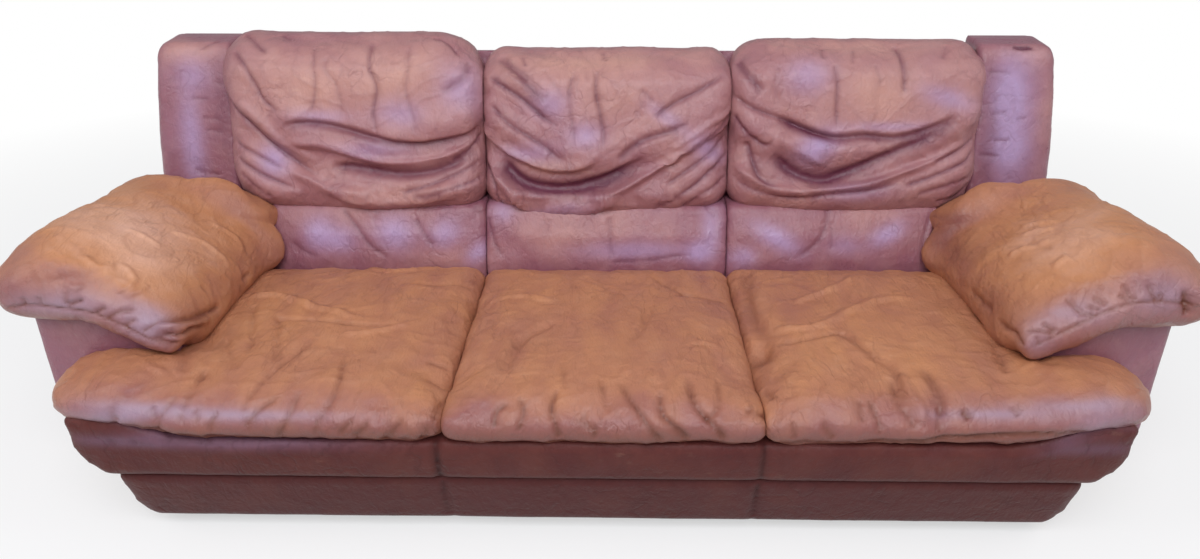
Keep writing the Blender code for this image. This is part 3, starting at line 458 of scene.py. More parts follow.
@dataclass(frozen=True)
class Viewpoint:
    """The camera that took the photograph."""

    eye: Point = (0.0266, -1.7735, 1.1929)
    pitch: float = 0.4346
    turn: float = 0.0155
    lens: float = 26.0
    sensor: float = 36.0

    def rotation(self) -> Euler:
        """Returns the camera's rotation."""
        return Euler((math.pi / 2 - self.pitch, 0.0, self.turn))

    def ray(self, x: float, y: float) -> Vector:
        """Returns the direction in which the camera sees a pixel."""
        focus = self.lens / self.sensor * PHOTO_WIDTH
        ahead = Vector(((x - PHOTO_WIDTH / 2) / focus, -(y - PHOTO_HEIGHT / 2) / focus, -1))
        return (self.rotation().to_matrix() @ ahead).normalized()


def merged_copy(source: bpy.types.Object) -> bmesh.types.BMesh:
    """Returns a copy of a node's mesh with its triangles joined."""
    bm = bmesh.new()
    bm.from_mesh(source.data)
    bmesh.ops.remove_doubles(bm, verts=bm.verts[:], dist=MERGE)
    return bm


class Canvas:
    """The solid of a node, on which the strokes that are drawn in the photograph land."""

    def __init__(self, node: str, source: bpy.types.Object) -> None:
        """Prepares the surface and the size of the face that the camera sees."""
        bm = merged_copy(source)
        self.tree = BVHTree.FromBMesh(bm)
        bm.free()
        self.view = Viewpoint()
        low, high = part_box(node)
        depth = 1 if "seat" in node or "arm_pad" in node else 2
        self.face = ((high[0] - low[0]) * 100, (high[depth] - low[depth]) * 100)

    def share(self, percent: float, side: int) -> float:
        """Returns a share of the face's width or height, in centimetres."""
        return round(percent * self.face[side] / 100, 1)

    def land(self, region: Region, spot: Spot) -> Point:
        """Finds the place of a spot.

        Args:
            region: The region in which the spot is drawn.
            spot: Two numbers are a pixel of the region, three a place in centimetres.

        Returns:
            The place in centimetres, on the surface behind the pixel or the pixel nearest to it.
        """
        if len(spot) == 3:
            return spot
        x, y = region.pixel(spot)
        place = self._hit(x, y)
        for reach in range(1, SEARCH_REACH):
            for step in range(SEARCH_STEPS):
                if place is None:
                    angle = step * math.pi / (SEARCH_STEPS // 2)
                    place = self._hit(x + reach * math.cos(angle), y + reach * math.sin(angle))
        return tuple(round(value * 100, 1) for value in place)

    def _hit(self, x: float, y: float) -> Vector | None:
        """Returns the first place that the ray of a pixel meets."""
        return self.tree.ray_cast(Vector(self.view.eye), self.view.ray(x, y))[0]


@dataclass(frozen=True)
class Fold:
    """A fold of a cover along a path on its surface.

    The path is drawn in a region of the photograph or given in centimetres. Lift is in millimetres,
    below zero for a valley. Left and right are the fold's reach in millimetres on either side of its
    path, as seen from outside. Dark is how much painted shade the fold lays along its path.
    """

    path: tuple[Spot, ...]
    lift: float
    left: float
    right: float
    dark: float
    edge: Edge

    def on(self, canvas: Canvas, region: Region) -> "Fold":
        """Returns the fold with its path on the canvas, in centimetres."""
        return replace(self, path=tuple(canvas.land(region, spot) for spot in self.path))

    def curve(self) -> np.ndarray:
        """Returns the path as a smooth curve of short spans, in metres."""
        ends = (self.path[0], *self.path, self.path[-1])
        curve = []
        for k in range(len(self.path) - 1):
            a, b, c, d = (np.array(point, dtype=float) for point in ends[k : k + 4])
            for q in (0.0, 0.25, 0.5, 0.75):
                spot = 2 * b + (c - a) * q
                spot = spot + (2 * a - 5 * b + 4 * c - d) * q * q + (3 * b - a - 3 * c + d) * q**3
                curve.append(spot / 2)
        curve.append(np.array(self.path[-1], dtype=float))
        return np.array(curve) / 100

    def profile(self, points: np.ndarray, normals: np.ndarray) -> np.ndarray:
        """Returns how strongly the fold acts at each point.

        Args:
            points: The positions of the cover's points.
            normals: Their outward directions.

        Returns:
            A value from 0 to 1 for each point.
        """
        curve = self.curve()
        margin = 0.003 * max(self.left, self.right) + 0.012
        inside = (points > curve.min(axis=0) - margin) & (points < curve.max(axis=0) + margin)
        near = np.flatnonzero(np.all(inside, axis=1))
        result = np.zeros(len(points))
        spots = points[near]
        up = normals[near]
        best = np.full(len(near), np.inf)
        side = np.ones(len(near))
        along = np.zeros(len(near))
        spans = np.linalg.norm(np.diff(curve, axis=0), axis=1)
        start = 0.0
        for k, span in enumerate(spans):
            ahead = (curve[k + 1] - curve[k]) / max(span, 1e-9)
            offset = spots - curve[k]
            reached = np.clip(offset @ ahead, 0.0, span)
            away = offset - reached[:, None] * ahead
            lifted = np.sum(away * up, axis=1)
            flat = np.linalg.norm(away - lifted[:, None] * up, axis=1)
            distance = flat + 2 * np.maximum(np.abs(lifted) - 0.03, 0)
            closer = distance < best
            best = np.where(closer, distance, best)
            turn = np.sum(np.cross(ahead, offset) * up, axis=1)
            side = np.where(closer, turn, side)
            along = np.where(closer, (start + reached) / spans.sum(), along)
            start += span
        reach = np.where(side > 0, self.left, self.right) / 1000
        strength = np.exp(-((best / reach) ** self.edge.value))
        strength *= np.clip(along / 0.08, 0, 1) ** 0.7 * np.clip((1 - along) / 0.2, 0, 1) ** 0.7
        result[near] = strength
        return result


def crease(lift: float, left: float, right: float, dark: float, *path: Spot) -> Fold:
    """Returns a sharp fold with this lift, reach, painted shade and path."""
    return Fold(path, lift, left, right, dark, Edge.CREASE)


def roll(lift: float, left: float, right: float, dark: float, *path: Spot) -> Fold:
    """Returns a round fold with this lift, reach, painted shade and path."""
    return Fold(path, lift, left, right, dark, Edge.ROLL)


@dataclass(frozen=True)
class Patch:
    """A soft oval on a cover that changes one channel.

    Its middle and radii are in centimetres, and a rise is in millimetres.
    """

    channel: Channel
    middle: Point
    width: float
    height: float
    amount: float
    turn: float = 0.0

    def on(self, canvas: Canvas, region: Region) -> "Patch":
        """Returns the patch as it is, because its place is known."""
        return self

    def profile(self, points: np.ndarray, normals: np.ndarray) -> np.ndarray:
        """Returns how much the patch adds at each point."""
        offset = points * 100 - np.array(self.middle)
        level = np.array([1.0, 0.0, 0.0]) - normals * normals[:, :1]
        level /= np.maximum(np.linalg.norm(level, axis=1, keepdims=True), 1e-6)
        upward = np.cross(level, normals)
        across = np.sum(offset * level, axis=1)
        up = np.sum(offset * upward, axis=1)
        cosine = math.cos(self.turn)
        sine = math.sin(self.turn)
        along = (across * cosine + up * sine) / self.width
        beside = (up * cosine - across * sine) / self.height
        deep = np.sum(offset * normals, axis=1) / 6
        return self.amount * np.exp(-(along**2 + beside**2 + deep**2))


@dataclass(frozen=True)
class Smudge:
    """A patch that is drawn in a region of the photograph.

    Its middle is a pixel of the region. Width and height are percent of the face that the camera sees.
    """

    channel: Channel
    middle: Spot
    width: float
    height: float
    amount: float
    turn: float = 0.0

    def on(self, canvas: Canvas, region: Region) -> Patch:
        """Returns the patch where it lands on the canvas."""
        middle = canvas.land(region, self.middle)
        width = canvas.share(self.width, 0)
        height = canvas.share(self.height, 1)
        return Patch(self.channel, middle, width, height, self.amount, self.turn)


@dataclass(frozen=True)
class Sketch:
    """The folds and patches of one node's cover that are drawn in one region of the photograph."""

    node: str
    region: Region = Region.WHOLE
    folds: tuple[Fold, ...] = ()
    patches: tuple[Patch | Smudge, ...] = ()


# Shade patches lay painted shade, and sheen patches a painted sheen of reflected light.
SKETCHES: tuple[Sketch, ...] = (
    Sketch(
        "back_cushion_left",
        Region.BACK_LEFT,
        folds=(
            crease(-5, 5, 5, 0.5, (385, 165), (430, 230), (480, 310), (520, 380), (590, 440)),
            crease(-6, 9, 4, 0.6, (340, 370), (400, 430), (480, 500), (560, 580), (650, 650), (760, 720)),
            roll(5, 10, 14, 0, (400, 390), (520, 490), (620, 570), (760, 660)),
            roll(
                -9, 6, 15, 0.55, (600, 490), (700, 480), (800, 490), (900, 515), (1000, 545), (1100, 570),
                (1200, 575), (1300, 560), (1400, 540), (1480, 490),
            ),
            roll(
                8, 12, 12, 0, (620, 560), (750, 570), (880, 600), (1000, 640), (1100, 655), (1250, 650),
                (1380, 610), (1480, 540),
            ),
            roll(
                -9, 10, 16, 0.65, (820, 680), (900, 675), (1000, 690), (1120, 710), (1250, 700),
                (1370, 660), (1470, 600),
            ),
            roll(
                10, 14, 14, 0, (620, 690), (720, 740), (850, 790), (1000, 812), (1150, 812), (1300, 790),
                (1420, 765), (1495, 740),
            ),
            crease(-4, 5, 5, 0.5, (1130, 790), (1250, 765), (1400, 700), (1490, 640)),
            crease(-4, 4, 4, 0.5, (1180, 800), (1300, 790), (1400, 760), (1495, 710)),
            crease(-4, 5, 5, 0.5, (1350, 650), (1430, 600), (1495, 520)),
            crease(-4, 4, 4, 0.5, (390, 570), (470, 620), (600, 690)),
            crease(-5, 5, 5, 0.6, (400, 640), (480, 700), (560, 740), (650, 775)),
            crease(-3, 4, 4, 0.5, (410, 700), (500, 770), (580, 800)),
            crease(-3, 5, 5, 0.35, (745, 150), (740, 260), (745, 340), (720, 460)),
            crease(-2.5, 5, 5, 0.2, (800, 190), (790, 250), (830, 300), (860, 400), (850, 480)),
            crease(-4, 6, 5, 0.45, (1000, 130), (985, 240), (1020, 330), (1005, 440), (1020, 550)),
            crease(-2.5, 5, 5, 0.25, (1165, 150), (1160, 250), (1150, 350), (1180, 460), (1190, 550)),
            crease(-3, 4, 4, 0.5, (1270, 120), (1330, 130), (1390, 180)),
            crease(-4, 6, 6, 0.5, (430, 90), (470, 130), (530, 190)),
            crease(-3, 5, 5, 0.4, (590, 90), (640, 125)),
            roll(-4, 10, 10, 0.3, (1440, 200), (1400, 290), (1300, 350)),
        ),
        patches=(
            Smudge(Channel.WORN, (700, 300), 30, 24, 0.55),
            Smudge(Channel.WORN, (1150, 250), 25, 18, 0.45),
            Smudge(Channel.WORN, (1150, 800), 25, 6, 0.4),
            Smudge(Channel.PAINTED_SHEEN, (560, 650), 6, 10, 0.9, -0.5),
            Smudge(Channel.PAINTED_SHEEN, (760, 460), 12, 5, 0.5),
            Smudge(Channel.PAINTED_SHEEN, (1000, 600), 14, 5, 0.55),
            Smudge(Channel.PAINTED_SHEEN, (1120, 440), 9, 8, 0.6),
            Smudge(Channel.PAINTED_SHEEN, (1390, 330), 8, 14, 0.6),
            Smudge(Channel.PAINTED_SHADE, (350, 260), 5, 14, 0.35),
        ),
    ),
    Sketch(
        "back_cushion_centre",
        Region.BACK_CENTRE,
        folds=(
            roll(-6, 14, 14, 0.45, (150, 110), (230, 190), (310, 290), (400, 400)),
            crease(-7, 10, 5, 0.65, (100, 255), (200, 320), (300, 390), (400, 480), (480, 525)),
            roll(4, 12, 12, 0, (180, 190), (300, 300), (420, 420)),
            crease(-6, 9, 6, 0.5, (110, 400), (200, 500), (290, 560), (400, 630), (480, 690), (530, 695)),
            roll(
                9, 16, 9, 0, (90, 490), (170, 610), (270, 680), (400, 732), (520, 740), (620, 720),
                (710, 670),
            ),
            roll(
                -12, 10, 22, 0.75, (170, 690), (280, 800), (400, 840), (560, 845), (720, 800), (850, 740),
                (950, 690),
            ),
            roll(
                10, 12, 9, 0, (90, 660), (150, 790), (230, 880), (330, 950), (480, 975), (620, 960),
                (740, 910), (850, 850), (1000, 750), (1150, 650), (1300, 550), (1400, 460),
            ),
            crease(-5, 5, 5, 0.5, (85, 720), (130, 840), (200, 920), (300, 975)),
            roll(-5, 9, 9, 0.5, (800, 700), (870, 640), (950, 590), (1080, 550), (1180, 510)),
            crease(-5, 7, 7, 0.5, (1000, 470), (1100, 400), (1250, 320), (1390, 230)),
            crease(-4, 6, 6, 0.4, (1100, 690), (1200, 620), (1300, 550), (1415, 440)),
            crease(-5, 6, 6, 0.5, (1060, 840), (1200, 740), (1320, 650), (1415, 560)),
            crease(-5, 6, 6, 0.55, (1000, 960), (1150, 880), (1280, 780), (1410, 640)),
            crease(-4, 5, 5, 0.5, (1130, 940), (1280, 870), (1390, 780)),
            roll(4, 7, 7, 0, (1080, 640), (1200, 570), (1300, 500), (1415, 390)),
            crease(-5, 6, 5, 0.45, (690, 200), (680, 330), (700, 440), (720, 560), (715, 650)),
            crease(-3, 5, 5, 0.3, (560, 220), (540, 330), (545, 450), (560, 560), (550, 650)),
            crease(-2, 5, 5, 0.15, (400, 200), (470, 310), (520, 390)),
            crease(-2, 4, 4, 0.15, (620, 150), (640, 280)),
            crease(-2.5, 5, 5, 0.2, (930, 320), (1000, 400)),
            crease(-3, 4, 4, 0.5, (280, 110), (300, 180)),
            crease(-3, 4, 4, 0.4, (720, 70), (730, 130)),
        ),
        patches=(
            Patch(Channel.PAINTED_SHADE, (-8, 22, 53), 19, 4.5, 0.42, 0.1),
            Smudge(Channel.WORN, (600, 150), 34, 14, 0.75),
            Smudge(Channel.WORN, (850, 400), 20, 16, 0.3),
            Smudge(Channel.WORN, (450, 745), 14, 5, 0.5),
            Smudge(Channel.PAINTED_SHEEN, (430, 400), 8, 9, 0.65),
            Smudge(Channel.PAINTED_SHEEN, (620, 570), 7, 8, 0.7),
            Smudge(Channel.PAINTED_SHEEN, (330, 650), 10, 5, 0.6),
            Smudge(Channel.PAINTED_SHEEN, (1280, 640), 9, 7, 0.7, 0.6),
            Smudge(Channel.PAINTED_SHEEN, (480, 975), 14, 2.5, 0.7),
            Smudge(Channel.PAINTED_SHEEN, (1060, 470), 9, 5, 0.5, 0.6),
        ),
    ),
    Sketch(
        "back_cushion_right",
        Region.BACK_RIGHT,
        folds=(
            roll(-6, 9, 12, 0.5, (110, 160), (160, 230), (240, 330)),
            crease(-7, 6, 6, 0.4, (110, 340), (180, 390), (260, 420), (370, 460), (470, 500), (560, 520)),
            roll(
                -9, 6, 16, 0.6, (300, 440), (470, 505), (580, 525), (700, 515), (820, 525), (920, 505),
                (1030, 465), (1120, 420),
            ),
            roll(6, 12, 16, 0, (300, 520), (400, 580), (520, 640)),
            crease(-6, 6, 6, 0.7, (110, 420), (180, 510), (240, 550), (285, 545)),
            crease(-7, 8, 8, 0.6, (160, 540), (200, 660), (230, 720), (310, 755)),
            roll(
                -9, 14, 14, 0.65, (280, 600), (370, 680), (480, 715), (560, 700), (700, 640), (850, 580),
                (1000, 520), (1110, 450),
            ),
            roll(
                8, 10, 8, 0, (110, 640), (200, 720), (330, 762), (500, 765), (700, 740), (850, 690),
                (1000, 630), (1140, 540),
            ),
            crease(-5, 5, 5, 0.5, (100, 690), (200, 760), (330, 785), (500, 785), (700, 765), (850, 730)),
            crease(-5, 5, 5, 0.6, (870, 745), (1000, 700), (1150, 630), (1215, 570)),
            crease(-4, 5, 5, 0.5, (920, 770), (1050, 740), (1190, 680)),
            crease(-4, 5, 5, 0.5, (1000, 640), (1100, 590), (1220, 520)),
            crease(-3, 4, 4, 0.5, (1000, 795), (1100, 785), (1180, 740)),
            crease(-4, 5, 5, 0.45, (555, 200), (570, 300), (565, 400), (570, 490)),
            crease(-5, 6, 6, 0.5, (830, 110), (860, 190), (870, 280), (865, 340)),
            crease(-3, 4, 4, 0.3, (500, 120), (510, 180)),
            crease(-2, 5, 5, 0.2, (740, 200), (760, 300)),
            crease(-2.5, 5, 5, 0.2, (310, 200), (290, 300), (310, 380)),
            crease(-2, 4, 4, 0.3, (640, 130), (640, 200)),
            crease(-3, 6, 6, 0.25, (1060, 110), (1040, 180)),
        ),
        patches=(
            Patch(Channel.PAINTED_SHADE, (55, 22, 54.5), 20, 3.6, 0.40, 0.2),
            Smudge(Channel.WORN, (750, 330), 24, 20, 0.5),
            Smudge(Channel.WORN, (600, 110), 30, 8, 0.4),
            Smudge(Channel.WORN, (300, 790), 16, 6, 0.3),
            Smudge(Channel.PAINTED_SHEEN, (480, 570), 9, 9, 1, -0.5),
            Smudge(Channel.PAINTED_SHEEN, (440, 250), 9, 10, 0.6),
            Smudge(Channel.PAINTED_SHEEN, (1060, 350), 11, 6, 0.65, 0.3),
            Smudge(Channel.PAINTED_SHEEN, (800, 480), 16, 3, 0.5),
            Smudge(Channel.PAINTED_SHEEN, (650, 770), 12, 5, 0.5),
        ),
    ),
    Sketch(
        "lumbar_pad_left",
        Region.BACK_LEFT,
        folds=(
            crease(-5, 6, 6, 0.6, (870, 870), (930, 950), (1000, 1040), (1080, 1090)),
            crease(-4, 5, 5, 0.5, (1190, 910), (1230, 980), (1280, 1040)),
            crease(-3, 5, 5, 0.4, (640, 1010), (700, 1060), (760, 1080)),
            crease(-4, 5, 5, 0.4, (1420, 850), (1500, 900)),
            crease(-2, 5, 5, 0.2, (1030, 880), (1000, 930)),
        ),
        patches=(
            Smudge(Channel.PAINTED_SHEEN, (760, 980), 7, 14, 1),
            Smudge(Channel.PAINTED_SHEEN, (860, 1010), 7, 11, 0.8),
            Smudge(Channel.PAINTED_SHEEN, (1100, 980), 9, 14, 1, 0.2),
            Smudge(Channel.PAINTED_SHEEN, (1320, 980), 6, 13, 0.8, 0.8),
            Smudge(Channel.PAINTED_SHEEN, (1470, 1060), 4, 12, 0.8, 0.8),
            Smudge(Channel.WORN, (1250, 1080), 20, 12, 0.4),
            Smudge(Channel.WORN, (900, 880), 30, 14, 0.3),
        ),
    ),
    Sketch(
        "lumbar_pad_centre",
        Region.BACK_CENTRE,
        folds=(
            crease(-4, 5, 5, 0.4, (755, 1010), (760, 1120), (770, 1240)),
            crease(-4, 5, 5, 0.5, (100, 1000), (130, 1130), (180, 1230)),
            crease(-3, 5, 5, 0.4, (1250, 940), (1330, 1025)),
            crease(-2, 5, 5, 0.2, (430, 1020), (420, 1120)),
            crease(-3, 5, 5, 0.5, (760, 1250), (950, 1240), (1120, 1220), (1200, 1215)),
            roll(4, 8, 8, 0, (1380, 1000), (1340, 1120), (1380, 1230)),
        ),
        patches=(
            Smudge(Channel.PAINTED_SHEEN, (900, 1190), 22, 8, 0.7),
            Smudge(Channel.PAINTED_SHEEN, (1230, 1200), 5, 9, 0.9),
            Smudge(Channel.PAINTED_SHEEN, (1300, 1080), 4, 22, 0.7),
            Smudge(Channel.PAINTED_SHEEN, (180, 990), 5, 9, 0.6),
            Smudge(Channel.WORN, (600, 1080), 30, 24, 0.45),
        ),
    ),
    Sketch(
        "lumbar_pad_right",
        Region.BACK_RIGHT,
        folds=(
            crease(-4, 6, 6, 0.5, (510, 830), (520, 900), (490, 980), (420, 1040), (370, 1070)),
            crease(-3, 5, 5, 0.3, (540, 900), (540, 1040)),
            roll(4, 4, 4, 0, (985, 800), (1000, 850), (975, 950), (950, 1040)),
            crease(-3, 3, 3, 0.5, (975, 805), (988, 850), (962, 950), (938, 1040)),
        ),
        patches=(
            Smudge(Channel.PAINTED_SHEEN, (300, 980), 12, 9, 1, 0.5),
            Smudge(Channel.PAINTED_SHEEN, (790, 960), 9, 8, 0.9, -0.5),
            Smudge(Channel.PAINTED_SHEEN, (600, 1010), 8, 8, 0.5),
            Smudge(Channel.PAINTED_SHEEN, (150, 1060), 6, 9, 0.7),
            Smudge(Channel.WORN, (720, 880), 20, 24, 0.4),
        ),
    ),
    Sketch(
        "seat_cushion_left",
        Region.SEATS_LEFT,
        folds=(
            roll(4, 8, 8, 0, (340, 170), (450, 170), (560, 210), (700, 245)),
            roll(-4, 7, 7, 0.2, (420, 240), (560, 252), (700, 264), (850, 262)),
            roll(3, 8, 8, 0, (720, 60), (820, 90), (950, 70), (1090, 80)),
            crease(-2.5, 6, 6, 0.15, (860, 130), (1000, 130), (1090, 150)),
            roll(3, 7, 7, 0, (640, 300), (760, 290), (900, 250)),
            crease(-3, 6, 6, 0.15, (350, 200), (345, 300), (330, 360)),
            crease(-3, 6, 6, 0.15, (430, 230), (435, 330), (420, 400)),
            crease(-2.5, 6, 6, 0.1, (260, 310), (300, 420)),
            crease(-3, 4, 5, 0.35, (550, 600), (610, 510), (640, 440), (650, 370)),
            crease(-2.5, 4, 4, 0.3, (300, 560), (400, 440), (480, 380), (560, 320)),
            crease(-3, 5, 5, 0.4, (430, 610), (470, 550), (500, 480)),
            crease(-3, 5, 5, 0.4, (770, 620), (860, 560)),
            crease(-3, 5, 5, 0.4, (680, 610), (740, 570)),
            crease(-3, 5, 5, 0.4, (630, 600), (690, 560)),
            crease(-3, 5, 5, 0.4, (320, 590), (380, 530), (440, 500)),
            crease(-3, 5, 5, 0.35, (200, 590), (240, 540)),
            crease(-3, 5, 5, 0.4, (900, 620), (950, 545), (985, 500)),
            crease(-2.5, 5, 5, 0.3, (100, 580), (160, 470), (200, 420)),
            crease(-2.5, 5, 5, 0.3, (30, 590), (60, 540), (100, 500)),
            crease(-3, 5, 5, 0.3, (1000, 405), (920, 380)),
            crease(-3, 5, 5, 0.3, (985, 465), (930, 430)),
        ),
        patches=(
            Smudge(Channel.RISE, (560, 300), 12, 9, 5),
            Smudge(Channel.RISE, (900, 420), 8, 6, -6),
            Smudge(Channel.WORN, (500, 250), 30, 20, 0.2),
        ),
    ),
    Sketch(
        "seat_cushion_left",
        Region.ARM_LEFT,
        folds=(
            crease(-3, 6, 6, 0.1, (870, 760), (890, 690), (880, 640)),
            crease(-3, 5, 5, 0.15, (970, 790), (980, 740)),
            roll(3, 8, 8, 0, (640, 720), (700, 760), (790, 780)),
            crease(-3, 5, 5, 0.3, (760, 950), (740, 900)),
            crease(-3, 5, 5, 0.3, (950, 960), (930, 900)),
            crease(-3, 5, 5, 0.3, (580, 930), (560, 890)),
            crease(-3, 2.5, 2.5, 0.5, (330, 935), (500, 957), (750, 985), (1000, 1003), (1330, 1025)),
        ),
        patches=(
            Smudge(Channel.PAINTED_SHEEN, (600, 900), 20, 1.6, 0.9),
            Smudge(Channel.PAINTED_SHEEN, (1150, 930), 26, 1.6, 0.75),
        ),
    ),
    Sketch(
        "seat_cushion_left",
        Region.SEATS_LEFT,
        folds=(
            crease(-3, 2.5, 2.5, 0.5, (0, 598), (200, 614), (450, 631), (700, 640), (940, 636)),
        ),
    ),
    Sketch(
        "seat_cushion_centre",
        Region.SEATS_LEFT,
        folds=(
            roll(3, 7, 7, 0, (1130, 190), (1220, 170), (1290, 172), (1370, 190)),
            crease(-3, 5, 5, 0.5, (1150, 590), (1160, 540), (1200, 520)),
            crease(-3, 5, 5, 0.5, (1230, 600), (1250, 540), (1230, 500)),
            crease(-4, 5, 5, 0.5, (1370, 615), (1340, 540), (1360, 480)),
            crease(-2, 5, 5, 0.2, (1390, 480), (1380, 390)),
            roll(-4, 12, 12, 0.1, (1180, 420), (1250, 300), (1350, 260)),
        ),
    ),
    Sketch(
        "seat_cushion_centre",
        Region.SEATS_RIGHT,
        folds=(
            crease(-4, 5, 5, 0.5, (270, 610), (230, 580), (170, 500), (130, 440)),
            crease(-5, 5, 5, 0.55, (350, 610), (330, 590), (270, 540), (260, 470)),
            crease(-5, 5, 5, 0.5, (480, 605), (420, 560), (370, 500), (350, 430)),
            crease(-3, 5, 5, 0.35, (400, 560), (450, 520), (440, 440)),
            crease(-3, 4, 4, 0.3, (90, 540), (60, 420)),
            crease(-3, 5, 5, 0.5, (600, 590), (530, 530)),
            crease(-3, 5, 5, 0.4, (60, 600), (0, 540)),
            crease(-3, 5, 5, 0.2, (470, 180), (360, 160), (300, 165)),
            crease(-3, 6, 6, 0.15, (230, 100), (320, 150), (400, 170)),
            roll(3, 6, 6, 0, (140, 420), (230, 360), (330, 320), (450, 330)),
            roll(-3, 9, 9, 0.1, (150, 330), (200, 280), (230, 200)),
            roll(4, 10, 10, 0, (250, 250), (240, 350), (250, 450)),
        ),
        patches=(
            Smudge(Channel.RISE, (200, 330), 18, 12, 6),
        ),
    ),
    Sketch(
        "seat_cushion_centre",
        Region.SEATS_LEFT,
        folds=(
            crease(-3, 2.5, 2.5, 0.5, (1000, 634), (1200, 640), (1400, 640), (1568, 638)),
        ),
    ),
    Sketch(
        "seat_cushion_centre",
        Region.SEATS_RIGHT,
        folds=(
            crease(-3, 2.5, 2.5, 0.5, (0, 632), (200, 632), (400, 620), (580, 606)),
        ),
    ),
    Sketch(
        "seat_cushion_right",
        Region.SEATS_RIGHT,
        folds=(
            roll(
                -3, 8, 8, 0.2, (640, 330), (740, 310), (850, 300), (950, 370), (1020, 410), (1050, 490),
                (1090, 550),
            ),
            roll(4, 9, 9, 0, (640, 280), (760, 275), (880, 220), (1000, 180), (1100, 175)),
            roll(4, 9, 9, 0, (700, 190), (820, 150), (900, 110)),
            roll(-5, 14, 14, 0.22, (540, 70), (560, 200), (620, 320)),
            crease(-4, 5, 5, 0.35, (1180, 550), (1170, 480), (1110, 400)),
            crease(-3, 5, 5, 0.4, (830, 605), (780, 560)),
            crease(-3, 5, 5, 0.4, (920, 570), (900, 500)),
            crease(-3, 5, 5, 0.4, (980, 590), (960, 540), (930, 500)),
            crease(-3, 5, 5, 0.4, (1270, 560), (1240, 530)),
            crease(-3, 5, 5, 0.3, (640, 500), (600, 460)),
            crease(-3, 5, 5, 0.35, (700, 600), (690, 560)),
            crease(-3, 5, 5, 0.3, (1390, 430), (1370, 350)),
        ),
        patches=(
            Smudge(Channel.RISE, (590, 350), 3.5, 5, -22),
            Smudge(Channel.PAINTED_SHADE, (590, 360), 3.5, 4, 0.45),
            Smudge(Channel.RISE, (900, 330), 12, 9, 5),
            Smudge(Channel.WORN, (900, 330), 26, 20, 0.2),
        ),
    ),
    Sketch(
        "seat_cushion_right",
        Region.ARM_RIGHT,
        folds=(
            crease(-3, 6, 6, 0.25, (320, 1000), (320, 900), (270, 800), (210, 740)),
            crease(-4, 6, 6, 0.35, (210, 990), (180, 940), (130, 880), (90, 780)),
            roll(3, 8, 8, 0, (250, 970), (230, 900), (180, 830), (130, 760)),
            crease(-2.5, 6, 6, 0.15, (610, 720), (590, 640), (560, 580)),
            crease(-3, 5, 5, 0.3, (480, 950), (430, 900)),
            crease(-3, 5, 5, 0.3, (700, 940), (660, 900)),
            crease(-2.5, 4, 4, 0.3, (1170, 910), (1250, 895), (1330, 880)),
        ),
        patches=(
            Smudge(Channel.PAINTED_SHEEN, (1030, 905), 15, 1.6, 1),
            Smudge(Channel.PAINTED_SHEEN, (550, 930), 16, 1.6, 0.7),
        ),
    ),
    Sketch(
        "seat_cushion_right",
        Region.SEATS_RIGHT,
        folds=(
            crease(-3, 2.5, 2.5, 0.5, (630, 612), (760, 624), (900, 618), (1200, 604), (1568, 592)),
        ),
    ),
    Sketch(
        "seat_cushion_right",
        Region.ARM_RIGHT,
        folds=(
            crease(-3, 2.5, 2.5, 0.5, (0, 1043), (400, 1022), (800, 1002), (1050, 997), (1230, 960)),
        ),
    ),
    Sketch(
        "back_wing_left",
        Region.BACK_LEFT,
        folds=(
            crease(-3, 4, 4, 0.35, (250, 515), (330, 520)),
            crease(-3, 4, 4, 0.35, (180, 372), (260, 380)),
            crease(-3, 4, 4, 0.35, (230, 460), (320, 465)),
            crease(-3, 5, 5, 0.4, (200, 690), (260, 705), (330, 715)),
            crease(-3, 5, 5, 0.4, (220, 150), (270, 100), (320, 90)),
            crease(-3, 5, 5, 0.3, (290, 300), (325, 310)),
        ),
        patches=(
            Smudge(Channel.PAINTED_SHEEN, (190, 560), 14, 30, 0.8),
            Smudge(Channel.PAINTED_SHEEN, (200, 260), 26, 10, 0.5),
            Smudge(Channel.WORN, (180, 150), 40, 9, 0.8),
            Smudge(Channel.PAINTED_SHADE, (330, 430), 12, 30, 0.5),
        ),
    ),
    Sketch(
        "back_wing_right",
        Region.BACK_RIGHT,
        folds=(
            crease(-3, 4, 4, 0.4, (1250, 230), (1360, 238)),
            crease(-3, 4, 4, 0.4, (1260, 420), (1340, 415)),
            crease(-3, 4, 4, 0.4, (1270, 540), (1350, 540)),
            crease(-3, 4, 4, 0.3, (1370, 450), (1420, 440)),
            crease(-3, 5, 5, 0.4, (1200, 600), (1300, 610)),
            crease(-6, 5, 5, 1.0, (97.8, 33.3, 83.9), (99.4, 32.9, 83.3), (101.4, 33.1, 83.9)),
            crease(-4, 4, 3, 0.8, (100.4, 33.6, 84.2), (102.3, 32.9, 83.1)),
        ),
        patches=(
            Patch(Channel.PAINTED_SHEEN, (99, 27, 65), 5, 17, 0.7),
            Smudge(Channel.WORN, (1400, 140), 50, 8, 0.7),
            Smudge(Channel.WORN, (1500, 500), 14, 30, 0.4),
            Smudge(Channel.PAINTED_SHEEN, (1330, 340), 20, 20, 0.8),
            Smudge(Channel.PAINTED_SHEEN, (1320, 580), 24, 10, 0.6),
            Smudge(Channel.PAINTED_SHADE, (1240, 600), 12, 34, 0.4),
            Patch(Channel.PAINTED_SHADE, (99.9, 33, 83.6), 2.3, 0.6, 1.0, 0.25),
        ),
    ),
    Sketch(
        "arm_pad_left",
        Region.ARM_LEFT,
        folds=(
            crease(-6, 6, 6, 0.6, (1090, 410), (980, 450), (860, 460), (740, 480)),
            crease(-6, 5, 5, 0.6, (1000, 500), (900, 535), (820, 540), (750, 560)),
            roll(6, 9, 9, 0, (1040, 470), (930, 500), (800, 505), (700, 500)),
            crease(-4, 5, 5, 0.5, (860, 605), (800, 580), (720, 550)),
